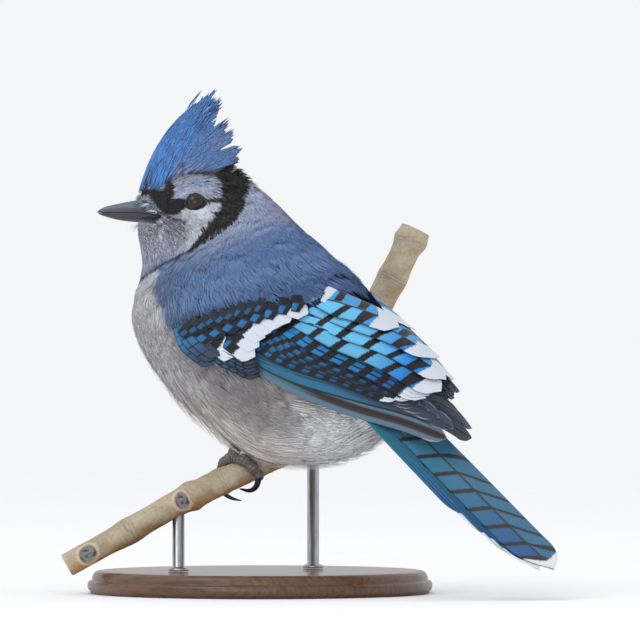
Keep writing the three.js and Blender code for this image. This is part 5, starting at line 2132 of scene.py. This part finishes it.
    def build(self, name: str, finish: bpy.types.Material, mirror: bool = False) -> bpy.types.Object:
        """Joins the vanes as one object.

        Args:
            name: the piece's name.
            finish: its material.
            mirror: whether it is the right-hand twin.

        Returns:
            The object, not yet riding.
        """
        round_count = 2 * self.COLUMNS
        vanes = len(self.points)
        points = np.concatenate(self.points)
        if mirror:
            points = points * np.array([1, -1, 1])
        rows, columns = np.meshgrid(np.arange(self.ROWS - 1), np.arange(round_count), indexing="ij")
        near = rows * round_count + columns
        beside = rows * round_count + (columns + 1) % round_count
        quads = np.stack([near, beside, beside + round_count, near + round_count], -1).reshape(-1, 4)
        caps = []
        for row, turn in ((0, -1), (self.ROWS - 1, 1)):
            ring = row * round_count
            left = ring + np.arange(self.COLUMNS - 1)
            right = ring + round_count - 1 - np.arange(self.COLUMNS - 1)
            caps.append(np.stack([left, left + 1, right - 1, right], -1)[:, ::turn])
        each = np.concatenate([quads, *caps])
        if mirror:
            each = each[:, ::-1]
        size = self.ROWS * round_count
        faces = (np.arange(vanes)[:, None, None] * size + each[None]).reshape(-1, 4)
        mesh = array_mesh(name, points, faces)
        add_colours(mesh, "plumage", np.clip(np.concatenate(self.colours), 0, 1))
        add_vectors(mesh, "bars", np.concatenate(self.bars))
        add_vectors(mesh, "web", np.concatenate(self.webs))
        return mesh_object(name, mesh, finish)


@dataclass
class Wing:
    """A folded wing: primaries, secondaries, tertials and the coverts over them."""

    groups: list[VaneGroup] = field(default_factory=lambda: WING_GROUPS)
    thick: float = 0.34

    def build(self, side: Side, finish: bpy.types.Material) -> bpy.types.Object:
        """Makes one wing.

        Args:
            side: which wing.
            finish: the feathers' material.

        Returns:
            The piece.
        """
        vanes = Vanes(np.random.default_rng(SEED + 3))
        for group in self.groups:
            for number in range(group.count):
                self.feather(vanes, group, number)
        label = side.name.lower()
        piece = vanes.build(f"wing_feathers_{label}", finish, side is Side.RIGHT)
        return settle(piece, "wing_feathers", f"wing_{label}")

    def feather(self, vanes: Vanes, group: VaneGroup, number: int) -> None:
        """Adds one feather of a group.

        Args:
            vanes: where it is gathered.
            group: its group.
            number: its number from the lowest.
        """
        share = number / (group.count - 1)
        root, tip = (
            np.array([np.interp(share * (len(table) - 1), np.arange(len(table)), column)
                      for column in zip(*table)])
            for table in (group.roots, group.tips)
        )
        tip = tip + vanes.draw.normal(0, 1, 2) * np.array([0.025, 0.35])
        along = vanes.shares()
        station = mix(root[0], tip[0], along)
        angle = mix(root[1], tip[1], along**group.sweep)
        at = BED.point(station, angle)
        bow = np.array([1 + 0 * along, (along + 1e-3) ** (group.sweep - 1)])
        ahead_run = (tip - root)[:, None] / 50 * bow
        ahead = unit(BED.point(station + ahead_run[0], angle + ahead_run[1]) - at)
        across = BED.point(station, angle + 1) - at
        across = squared(across, ahead)
        out = unit(np.cross(across, ahead))
        rise = mix(group.lift[0], group.lift[1], ease(along, 0, 0.3 if group.long else 0.5))
        at = at + out * (rise + group.stack * number)[:, None]
        length = float(np.sum(np.linalg.norm(np.diff(at, axis=0), axis=1)))
        ends = BED.point(*np.array([group.tips[0], group.tips[-1]], float).T)
        spacing = group.spacing or np.linalg.norm(ends[1] - ends[0]) / (group.count - 1)
        bend = float(smooth_read(BED.stations, np.array([tip[0]]))[0, 4])
        vanes.add(
            at, across, out, vanes.half_widths(mix(*group.width, share), group.long, group.blunt),
            group.step / max(float(spacing), 1.6), 0.5 / bend, self.thick, group.pattern_of(number), length,
        )


@dataclass
class Tail:
    """The tail: six pairs of long feathers, the coverts, and the central pair on top.

    It is rolled a little to the left, where the side feathers show past the top one. Each pair is
    given by how much shorter it is, its width and its left outer edge.
    """

    base: tuple[float, float, float] = (44, 0, 92)
    tip: tuple[float, float, float] = (139.4, -5.6, 12.8)
    length: float = 125.0
    step: float = 0.3
    roll: float = 10.0
    pairs: Table = (
        (0, 26, 15.4), (1.5, 17, 16.4), (5, 16, 17.4), (9.5, 15, 19), (22, 13.6, 20.6), (36, 12, 22.4),
    )
    folded: float = -10.4
    whites: tuple[float, ...] = (4.8, 12, 15, 15, 15, UNTIPPED)
    bars: tuple[float, ...] = (10.6, 0, 0, 0, 0, 0)
    widening: Table = ((0, 0.5), (0.12, 0.78), (0.25, 0.96), (0.5, 1), (0.88, 1), (1, 1))
    tip_from: float = 0.89

    def frame(self) -> tuple[Points, Points, Points]:
        """The directions along, across and out of the tail."""
        along = unit(np.array(self.tip, float) - np.array(self.base, float))
        across = np.array([0.0, -1.0, 0.0])
        across = unit(across - along * (across @ along))
        out = np.cross(across, along)
        turn = math.radians(self.roll)
        across, out = (
            across * math.cos(turn) - out * math.sin(turn), out * math.cos(turn) + across * math.sin(turn)
        )
        return along, across, out

    def spot(self, along_mm: Numbers, across_mm: Numbers, out_mm: Numbers) -> Points:
        """Points at millimetres along, across and out from the tail's base."""
        along, across, out = self.frame()
        base = np.array(self.base, float)
        return (
            base + np.multiply.outer(along_mm, along) + np.multiply.outer(across_mm, across)
            + np.multiply.outer(out_mm, out)
        )

    def build(self, finish: bpy.types.Material) -> bpy.types.Object:
        """Makes the tail's feathers and coverts.

        Args:
            finish: the feathers' material.

        Returns:
            The piece.
        """
        vanes = Vanes(np.random.default_rng(SEED + 4))
        _, across, out = self.frame()
        for side in (-1, 1):
            for number, (short, width, edge) in enumerate(self.pairs):
                layer = (0 if side > 0 else 1) if number == 0 else number + 1
                along = vanes.shares()
                reach = self.length - short
                outer = edge if side > 0 else -self.folded - 0.2 * number
                middle = side * (outer - width / 2)
                centre = mix(0.75 * middle, middle, along**0.5) - 1.6 * ease(along, 0.84, 1) * (number == 0)
                at = self.spot(along * reach, centre, np.full(len(along), -layer * self.step))
                tip_share = np.clip((along - self.tip_from) / (1 - self.tip_from), 0, 1)
                wide = width / 2 * between(self.widening, along)
                wide = wide * np.maximum((1 - tip_share**1.8) ** 0.7, 0.05)
                pattern = Pattern(
                    "#28738f", "#154e8c", "#266989", self.bars[number], 0.21, self.whites[number],
                    (-0.1, -0.06, 0.7), True, "#1f5678", 0.95, blend=(0.4, 1), fade=1.0,
                )
                flat = np.broadcast_to(across * side, at.shape)
                outward = np.broadcast_to(out, at.shape)
                vanes.add(at, flat, outward, wide, 0.012, 0.0, 0.42, pattern, reach)
        self.coverts(vanes)
        piece = vanes.build("tail_feathers", finish)
        return settle(piece, "tail_feathers", "tail")

    def coverts(self, vanes: Vanes) -> None:
        """Adds the coverts over and under the tail's root.

        Args:
            vanes: where they are gathered.
        """
        _, across, out = self.frame()
        blue = Pattern("#4f83b4", "#437aa8", "#4a7dac", edge="#3a6c9c", edge_from=0.97)
        white = Pattern("#e6e8ec", "#e9ebef", "#e6e8ec", edge="#dfe2e7", edge_from=0.97, under="#e2e5ea")
        for over, pattern in ((True, blue), (False, white)):
            for row in range(3):
                for number in range(7):
                    place = -1 + number / 3
                    along = vanes.shares()
                    reach = (47 if over else 56) - 9 * place**2 - 11 * row
                    centre = place * mix(5, 10.5, along)
                    height = mix(3.4, 1.3, along) if over else mix(-11.5, -3, along)
                    sign = 1 if over else -1
                    height = height + sign * (0.5 * row - 1.1 * abs(place)) + (0 if over else 0.4)
                    at = self.spot(mix(14, reach, along), centre, height)
                    wide = vanes.half_widths(8.6, False, 0.3)
                    face = np.broadcast_to(out * sign, at.shape)
                    flat = np.broadcast_to(across * sign, at.shape)
                    vanes.add(at, flat, face, wide, 0.1 * place, 0.012, 0.3, pattern, reach - 14)


# Perch, feet and stand


@dataclass(frozen=True)
class Perch:
    """A short cut length of branch, the same line and girth as the CAD's."""

    line: Table = (
        (-57.2, -53.4, 11.4), (-38.4, -40.5, 24.2), (-19.2, -27.3, 37.2), (-10.2, -19.9, 43),
        (-2.7, -12.3, 47.6), (0.7, 0.4, 52.4), (3.2, 13.8, 57), (3.6, 30.5, 67.2), (4.4, 48.1, 84.6),
        (11.2, 55.6, 100.4), (18.8, 61.3, 117.2), (25.4, 66.6, 133.2), (29.9, 70.6, 146),
    )
    ends: tuple[float, float] = (4.7, 6.0)
    knots: Table = ((0.09, 0.7), (0.19, 0.9), (0.28, 0.3), (0.8, 0.6), (0.88, 0.5), (0.97, 1.1))
    knot_width: float = 0.018
    scars: tuple[float, ...] = (0.031, 0.167)
    scar_size: tuple[float, float] = (0.0115, 0.72)
    scar_side: tuple[float, float, float] = (0.53, -0.848, 0)

    def centre(self, share: Numbers) -> Points:
        """Points of the middle line, a centripetal curve through the given ones.

        Args:
            share: shares along the line, from 0 to 1.

        Returns:
            The points.
        """
        line = np.array(self.line, float)
        last = len(line) - 1
        share = np.clip(np.asarray(share, float), 0, 1)
        span = np.minimum((share * last).astype(int), last - 1)
        weight = (share * last - span)[..., None]
        before = np.where(span[..., None] > 0, line[np.maximum(span - 1, 0)], 2 * line[0] - line[1])
        after = np.where(
            span[..., None] + 2 <= last, line[np.minimum(span + 2, last)], 2 * line[last] - line[last - 1]
        )
        start, end = line[span], line[span + 1]
        gaps = [
            np.maximum(np.linalg.norm(high - low, axis=-1, keepdims=True) ** 0.5, 1e-4)
            for low, high in ((before, start), (start, end), (end, after))
        ]
        one, two, three = gaps
        leave = ((start - before) / one - (end - before) / (one + two) + (end - start) / two) * two
        arrive = ((end - start) / two - (after - start) / (two + three) + (after - end) / three) * two
        cubic = 2 * start - 2 * end + leave + arrive
        square = -3 * start + 3 * end - 2 * leave - arrive
        return start + weight * (leave + weight * (square + weight * cubic))

    def ahead(self, share: Numbers) -> Points:
        """The middle line's directions."""
        return unit(self.centre(np.minimum(share + 0.002, 1)) - self.centre(np.maximum(share - 0.002, 0)))

    def radius(self, share: Numbers) -> Numbers:
        """The branch's radius, with its swollen rings."""
        swell = sum(extra * bell(share, at, self.knot_width) for at, extra in self.knots)
        return mix(*self.ends, np.asarray(share, float) ** 0.7) + swell

    def frame(self, share: Numbers) -> tuple[Points, Points, Points]:
        """The middle line's direction and two directions round it."""
        ahead = self.ahead(share)
        near = np.array(self.scar_side)
        first = unit(near - ahead * (ahead @ near)[:, None])
        return ahead, first, np.cross(ahead, first)

    def build(self, finish: bpy.types.Material) -> bpy.types.Object:
        """Makes the branch with its rings, scars and sawn ends.

        Args:
            finish: the bark, which reads its colours from the mesh.

        Returns:
            The piece.
        """
        cap = 0.012

        def place(round_share: Numbers, along_share: Numbers) -> Points:
            """Points round the branch and along it, with flat ends."""
            share = np.clip((along_share - cap) / (1 - 2 * cap), 0, 1)
            _, first, second = self.frame(share)
            turn = 2 * np.pi * round_share
            radius = self.radius(share) + self.relief(share, turn)
            inset = from_end(along_share, cap)
            radius = radius * np.where(inset < 1, inset * 0.93, 1)
            spokes = first * np.cos(turn)[:, None] + second * np.sin(turn)[:, None]
            return np.round(self.centre(share) + spokes * radius[:, None], 5)

        mesh = warped_grid("branch", 96, 520, place)
        add_colours(mesh, "plumage", self.colours(points_of(mesh)))
        return settle(mesh_object("branch", mesh, finish), "bark", "perch")

    @staticmethod
    def wrinkle(share: Numbers, turn: Numbers) -> Numbers:
        """The bark's fine rings, from -1 to 1."""
        return np.sin(share * 1250 + 2.4 * np.sin(turn + share * 40) + 1.7 * np.sin(3 * turn))

    def relief(self, share: Numbers, turn: Numbers) -> Numbers:
        """The bark's shallow rings, wrinkles and the sunk bud scars.

        Args:
            share: shares along the perch.
            turn: radians round it, from the scars' side.

        Returns:
            Millimetres outwards.
        """
        near_knot = sum(bell(share, at, 0.016) for at, _ in self.knots)
        wrinkles = 0.12 * near_knot * self.wrinkle(share, turn) * (0.5 + 0.5 * np.sin(2 * turn + share * 90))
        uneven = 0.2 * np.sin(2 * turn + share * 22) + 0.12 * np.sin(3 * turn - share * 41)
        uneven = uneven + 0.08 * np.sin(5 * turn + share * 130) * np.sin(share * 75)
        sunk = 0.0
        for at in self.scars:
            away, folds = self.scar(share, turn, at)
            sunk = sunk - (0.5 + 0.22 * folds) * ease(away, 1, 0.7) + 0.55 * bell(away, 1.15, 0.2)
        return wrinkles + uneven + sunk

    def scar(self, share: Numbers, turn: Numbers, at: float) -> tuple[Numbers, Numbers]:
        """How far out places lie from a bud scar's middle, 1 at its rim, and its curled folds."""
        wide, tall = self.scar_size
        wrapped = (turn + np.pi) % (2 * np.pi) - np.pi
        away = np.hypot((share - at) / wide, wrapped / tall)
        curl = np.arctan2(wrapped / tall, (share - at) / wide)
        return away, np.sin(away * 9 + 2 * curl) * 0.6 + 0.4 * np.sin(curl * 3)

    def colours(self, points: Points) -> Numbers:
        """The bark's colours: tan above, orange brown below, dark scars, pale sawn wood.

        Args:
            points: N points of its surface.

        Returns:
            N x 3 linear colours.
        """
        shares = np.linspace(0, 1, 1500)
        line = self.centre(shares)
        nearest = np.zeros(len(points), int)
        for start in range(0, len(points), 4000):
            part = points[start : start + 4000]
            gaps = ((part[:, None] - line[None]) ** 2).sum(2)
            nearest[start : start + 4000] = gaps.argmin(1)
        share = shares[nearest]
        _, first, second = self.frame(share)
        spoke = points - line[nearest]
        down = -unit(spoke)[:, 2]
        turn = np.arctan2((spoke * second).sum(1), (spoke * first).sum(1))
        patchy = np.sin(share * 60 + 2 * turn) + np.sin(share * 143 - 3 * turn) + np.sin(share * 37 + turn)
        pores = np.sin(share * 610 + 5 * np.sin(7 * turn)) * np.sin(9 * turn + share * 330)
        lines = ease(self.wrinkle(share, turn), 0.2, 0.9)
        colour = laid(
            plain("#b3a58d", len(points)),
            ("#988a6f", 0.6 * ease(patchy, -1, 2)),
            ("#a4763f", 0.8 * ease(down + 0.12 * patchy, 0.15, 0.8)),
            *(("#6a5746", 0.55 * bell(share, at, 0.009) * lines) for at, _ in self.knots),
            ("#5e4c3a", 0.7 * ease(pores, 0.965, 1.0)),
        )
        for at in self.scars:
            away, folds = self.scar(share, turn, at)
            colour = laid(
                colour, ("#cdbfa6", 0.8 * bell(away, 1.2, 0.16)), ("#7f7a79", ease(away, 1.03, 0.9)),
                ("#322b2b", ease(away, 1.08, 0.85) * ease(folds, 0.1, 0.8)),
            )
        radial = np.linalg.norm(spoke, axis=1) / self.radius(share)
        end = ((share < 0.0008) | (share > 0.9992)) & (radial < 0.9)
        sawn = laid(plain("#d2b98c", len(points)), ("#b0905e", 0.5 + 0.5 * np.sin(radial * 34)))
        return np.where(end[:, None], sawn, colour)


@dataclass(frozen=True)
class Toe:
    """A toe round the perch, in degrees and millimetres.

    reach is how far round the toe goes and curl how much further its claw. drift is how far the
    toe goes along the perch and hook how far its claw does. open is how far the claw's tip stands
    off the bark.
    """

    reach: float
    curl: float
    drift: float
    hook: float
    thick: float
    open: float = 0.0


@dataclass
class Leg:
    """A foot that grips the perch, its scaly shank and its claws. A tight one has them closed."""

    perch: Perch
    share: float
    label: str
    tarsus: float = 2.1
    rise: tuple[float, float, float] = (2.5, 0, 15)
    tight: bool = False
    toe_radius: float = 1.95
    gap: float = 0.15
    claw_from: float = 0.62
    toes: tuple[Toe, ...] = (
        Toe(112, 44, 0.5, 0.3, 1.0), Toe(104, 40, 5.5, 0.6, 0.92), Toe(132, 48, -7, 5.8, 0.92, 5.2),
        Toe(-99, -94, 5.4, -5.6, 1.2, 0.7),
    )

    def grip(self) -> tuple[Points, Points, Points, Points, float]:
        """The perch's middle, direction, front, up and radius under the foot."""
        share = np.array([self.share])
        along = self.perch.ahead(share)[0]
        front = unit(np.array([-1.0, 0, 0]) + along * along[0])
        up = unit(np.cross(along, front))
        up = up if up[2] > 0 else -up
        return self.perch.centre(share)[0], along, front, up, float(self.perch.radius(share)[0])

    def toe_path(self, toe: Toe, at: Numbers) -> tuple[Points, Numbers, Points]:
        """The middle line of a toe.

        Args:
            toe: which toe.
            at: shares along it, from the sole to the claw's tip.

        Returns:
            Points, radii and the directions away from the perch.
        """
        centre, along, front, up, girth = self.grip()
        claw = np.clip((at - self.claw_from) / (1 - self.claw_from), 0, 1)
        limb = np.clip(at / self.claw_from, 0, 1)
        knuckles = 1 + 0.1 * np.cos(2 * np.pi * 3 * limb)
        base = self.toe_radius * toe.thick
        radius = np.where(claw > 0, base * mix(0.54, 0.1, claw**2.2), base * knuckles * mix(1, 0.8, limb))
        angle = np.radians(toe.reach * limb + toe.curl * claw)
        away = girth + self.gap + np.maximum(radius, 0.5) + 1.3 * np.sin(np.pi * claw)
        away = away + toe.open * claw**1.3
        drift = toe.drift * limb + toe.hook * claw**1.2
        spokes = np.outer(np.cos(angle), up) + np.outer(np.sin(angle), front)
        points = centre + np.outer(drift, along) + spokes * away[:, None]
        return points, np.maximum(radius, 0.16), spokes

    def tube(
        self, name: str, line: Callable[[Numbers], tuple[Points, Numbers, Points]],
        columns: int, rows: int, scutes: float, span: tuple[float, float],
        colours: tuple[str, str],
    ) -> bpy.types.Mesh:
        """A limb along a line with overlapping scutes on its outer side.

        Args:
            name: the mesh's name.
            line: gives points, radii and outward directions for shares.
            columns: steps round it.
            rows: steps along it.
            scutes: how many scales it has.
            span: the shares of the line that it covers.
            colours: its colour in the painted shade of the creases and its plates' colour under the painted
                highlight.

        Returns:
            The closed mesh.
        """
        def place(round_share: Numbers, along_share: Numbers) -> Points:
            """Points round the limb and along it, with rounded ends."""
            at = mix(span[0], span[1], along_share)
            points, radius, out = line(at)
            step = line(np.minimum(at + 0.01, 1.0))[0] - line(np.maximum(at - 0.01, 0.0))[0]
            ahead = unit(step)
            out = squared(out, ahead)
            side = np.cross(ahead, out)
            turn = 2 * np.pi * round_share
            dome = np.sqrt(np.clip(1 - (1 - from_end(along_share, 0.06)) ** 2, 0, 1))
            plate = (along_share * scutes) % 1.0 if scutes else 0.0
            over = np.clip(np.cos(turn), 0, 1) ** 0.5
            scale = 1 + (0.11 * plate * over if scutes else 0.0) + 0.03 * np.cos(turn * 5) * (scutes > 0)
            reach = (radius * scale * dome)[:, None]
            spokes = out * np.cos(turn)[:, None] + side * np.sin(turn)[:, None]
            return np.round(points + spokes * reach, 5)

        def paint(round_share: Numbers, along_share: Numbers) -> Numbers:
            """Painted shade in the creases between the plates and a painted highlight over their middles;
            without plates, lighter on the side away from the perch.
            """
            colour = plain(colours[0], len(round_share))
            if not scutes:
                return laid(colour, (colours[1], 0.6 * np.clip(np.cos(2 * np.pi * round_share), 0, 1)))
            plate = (along_share * scutes) % 1.0
            seams = 0.5 + 0.5 * np.cos(2 * np.pi * round_share * 9 + 23 * along_share)
            lit = ease(plate, 0.0, 0.6) * mix(0.45, 1, ease(seams, 0.0, 0.6))
            return laid(colour, (colours[1], lit))

        return warped_grid(name, columns, rows, place, paint)

    def shank(self, at: Numbers) -> tuple[Points, Numbers, Points]:
        """The middle line of the shank from the sole up into the belly.

        Args:
            at: shares along it.

        Returns:
            Points, radii and the directions to its front.
        """
        centre, _, front, up, girth = self.grip()
        sole = centre + up * (girth + self.gap + self.toe_radius)
        ankle = sole + np.array(self.rise)
        points = sole + np.outer(at, ankle - sole)
        radius = self.tarsus * (1 + 0.35 * bell(at, 0, 0.16) + 0.12 * ease(at, 0.7, 1))
        return points, radius, np.broadcast_to(front, points.shape)

    def build(self, hide: bpy.types.Material, horn: bpy.types.Material) -> list[bpy.types.Object]:
        """Makes the leg with its toes, and its claws.

        Args:
            hide: the scaly skin.
            horn: the claws.

        Returns:
            The pieces.
        """
        # Each pair: the colour in the painted shade of the creases, then the colour under the painted
        # highlight.
        grey, black = ("#3a3231", "#736a67"), ("#0f0c0b", "#2b2622")
        limbs = [self.tube("shank", self.shank, 36, 84, 11, (0, 1), grey)]
        claws = []
        for toe in self.toes:
            toe = replace(toe, curl=0.55 * toe.curl, open=0.0) if self.tight else toe
            def path(at: Numbers, toe: Toe = toe) -> tuple[Points, Numbers, Points]:
                """The toe's own line."""
                return self.toe_path(toe, at)
            limbs.append(self.tube("toe", path, 36, 110, 15, (0.0, self.claw_from + 0.02), grey))
            claws.append(self.tube("claw", path, 16, 44, 0, (self.claw_from - 0.03, 1.0), black))
        foot = self.join(f"foot_{self.label}", limbs, hide)
        tips = self.join(f"claws_{self.label}", claws, horn)
        return [settle(foot, "leg_scales", f"leg_{self.label}"), settle(tips, "leg_scales")]

    @staticmethod
    def join(name: str, meshes: list[bpy.types.Mesh], finish: bpy.types.Material) -> bpy.types.Object:
        """Joins closed meshes as one object.

        Args:
            name: the piece's name.
            meshes: the meshes, which are used up.
            finish: the material.

        Returns:
            The object, not yet riding.
        """
        shape = bmesh.new()
        for mesh in meshes:
            shape.from_mesh(mesh)
            bpy.data.meshes.remove(mesh)
        return mesh_object(name, finished(name, shape), finish)


@dataclass(frozen=True)
class Stand:
    """The display stand: a turned round base and two steel rods up to the perch."""

    perch: Perch
    radius: float = 69.0
    height: float = 9.0
    rod_radius: float = 2.4
    rods: tuple[tuple[str, float], ...] = (("front", 0.16), ("back", 0.6))
    foot: tuple[float, float] = (0.9, 1.9)
    ogee: tuple[float, float] = (2.6, 5.6)

    def base_profile(self) -> list[tuple[float, float]]:
        """The base's half section: a foot, an ogee edge and a flat top."""
        rim, top = self.radius, self.height
        (foot, foot_half), (curl, low) = self.foot, self.ogee
        profile = [(0, 0), (rim - 2.5, 0), (rim - 1.2, 0.3), (rim - foot, 1.2)]
        for degrees in range(0, 181, 20):
            turn = math.radians(degrees)
            profile.append((rim - foot + foot * math.sin(turn), 3.1 - foot_half * math.cos(turn)))
        profile += [(rim - 1.6, 5.2), (rim - 1.8, low)]
        for degrees in range(0, 91, 10):
            turn = math.radians(degrees)
            profile.append((rim - 1.8 - curl * (1 - math.cos(turn)), low + (top - low) * math.sin(turn)))
        return profile + [(rim - 6, top), (rim * 0.5, top), (0, top)]

    def build(self, wood: bpy.types.Material, steel: bpy.types.Material) -> list[bpy.types.Object]:
        """Makes the base and the rods.

        Args:
            wood: the base's finish.
            steel: the rods' finish.

        Returns:
            The pieces.
        """
        base = lathe("base_plate", self.base_profile(), 160, np.zeros(3))
        pieces = [settle(mesh_object("base_plate", base, wood), "stand_wood", "stand_base")]
        for label, share in self.rods:
            foot = self.perch.centre(np.array([share]))[0]
            low = self.height + 0.3
            tall = foot[2] - float(self.perch.radius(np.array([share]))[0]) * 0.62 - low
            rim = self.rod_radius
            profile = [(0, 0), (rim + 1.5, 0), (rim + 1.7, 0.3), (rim + 1.6, 0.9), (rim + 0.5, 1.4),
                       (rim, 1.7), (rim, tall - 0.3), (rim - 0.3, tall), (0, tall)]
            rod = lathe(f"rod_{label}", profile, 48, np.array([foot[0], foot[1], low]))
            pieces.append(settle(mesh_object(f"rod_{label}", rod, steel), "rod_steel", f"stand_rod_{label}"))
        return pieces


# Studio


@dataclass(frozen=True)
class Studio:
    """A pale floor, soft light and the photograph's view.

    azimuth is in degrees, and distance, lens and aim are in millimetres. The floor and the lamps
    are in metres: a lamp has a name, its watts, its size and its place.
    """

    azimuth: float = 32.0
    distance: float = 3000.0
    lens: float = 421.9
    aim: tuple[float, float] = (24.0, 109.2)
    sky: float = 0.94
    floor_radius: float = 2.4
    lamps: tuple = (("key", 8.0, 1.0, (-0.4, -1.4, 1.7)), ("fill", 7.0, 1.4, (0.7, -2.0, 0.45)))

    def build(self) -> None:
        """Lays the floor, sets the light and places the camera."""
        self.floor()
        self.light()
        self.camera()

    def camera(self) -> None:
        """Sets the level view from the bird's left, 32 degrees round."""
        turn = math.radians(self.azimuth)
        right = Vector((math.cos(turn), math.sin(turn), 0))
        ahead = Vector((-math.sin(turn), math.cos(turn), 0))
        across, up = self.aim
        lens = bpy.data.cameras.new("view")
        lens.lens = self.lens
        lens.sensor_width = 36.0
        lens.clip_end = 100.0
        lens.dof.use_dof = False
        view = bpy.data.objects.new("view", lens)
        view.location = (right * across - ahead * self.distance + Vector((0, 0, up))) * MM
        view.rotation_euler = ahead.to_track_quat("-Z", "Y").to_euler()
        bpy.context.scene.collection.objects.link(view)
        bpy.context.scene.camera = view

    def floor(self) -> None:
        """Lays a plain pale floor."""
        shape = bmesh.new()
        bmesh.ops.create_circle(shape, cap_ends=True, segments=96, radius=self.floor_radius)
        finish = GrainFinish("floor_paper", "#fbfbfd", "#fdfdfe", 40, roughness=0.9, bump_mm=0.0, fine_mm=2)
        mesh_object("floor", finished("floor", shape), finish.build())

    def light(self) -> None:
        """Sets an overcast sky, a broad soft key from above the bird's left and a low soft fill."""
        world = bpy.data.worlds.new("overcast")
        bpy.context.scene.world = world
        world.use_nodes = True
        sky = world.node_tree.nodes["Background"]
        sky.inputs["Color"].default_value = (0.97, 0.98, 1.0, 1)
        sky.inputs["Strength"].default_value = self.sky
        for name, energy, size, place in self.lamps:
            lamp = bpy.data.lights.new(name, "AREA")
            lamp.energy = energy
            lamp.size = size
            lamp.color = (1.0, 0.99, 0.97)
            holder = bpy.data.objects.new(name, lamp)
            holder.location = place
            holder.visible_camera = False
            aim = Vector((0, 0, 0.1)) - holder.location
            holder.rotation_euler = aim.to_track_quat("-Z", "Y").to_euler()
            bpy.context.scene.collection.objects.link(holder)
        bpy.context.scene.view_settings.view_transform = "Standard"


def main() -> None:
    """Builds every piece of the model in order."""
    logging.basicConfig(level=logging.INFO, format="%(message)s")
    crown = CoatFinish("crown_plumage", barb_mm=0.35).build()
    mantle = CoatFinish("body_plumage", barb_mm=0.5).build()
    Skin().build(mantle)
    Coat().build({"crown_feathers": crown, "mantle_feathers": mantle})
    Crest().build(crown)
    bill = Bill()
    bill.build(PaintedFinish("bill_horn", 0.42, coat=0.1, grain_mm=2.5).build())
    Whiskers(bill).build(crown)
    Eyes().build(
        PaintedFinish("wet_eye", 0.04, 1.38, coat=0.35, grain_mm=0.4, spread=0.2, bump_mm=0.0).build(),
        PaintedFinish("lid_skin", 0.55, grain_mm=0.4).build(),
    )
    wing_vanes = VaneFinish("wing_vanes").build()
    for side in Side:
        Wing().build(side, wing_vanes)
    Tail().build(VaneFinish("tail_vanes", white="#dfe3e8", ink="#1a131b").build())
    perch = Perch()
    perch.build(PaintedFinish("birch_bark", 0.75, grain_mm=1.4, spread=0.16, bump_mm=0.25).build())
    scales = PaintedFinish("scaly_hide", 0.5, grain_mm=0.6, spread=0.22, bump_mm=0.12).build()
    claws = PaintedFinish("claw_horn", 0.35, coat=0.2, grain_mm=0.8).build()
    for share, label in ((4 / 12, "left"), (6 / 12, "right")):
        Leg(perch, share, label, tight=label == "right").build(scales, claws)
    wood = GrainFinish("walnut_oiled", "#3b2517", "#6b4529", 2.2, (0.12, 2.2, 1), 0.42, coat=0.3)
    steel = GrainFinish("brushed_steel", "#8f9295", "#b9bcbf", 0.5, (1, 1, 0.06), 0.32, 1.0, 0.02)
    Stand(perch).build(wood.build(), steel.build())
    Studio().build()


if __name__ == "__main__":
    main()
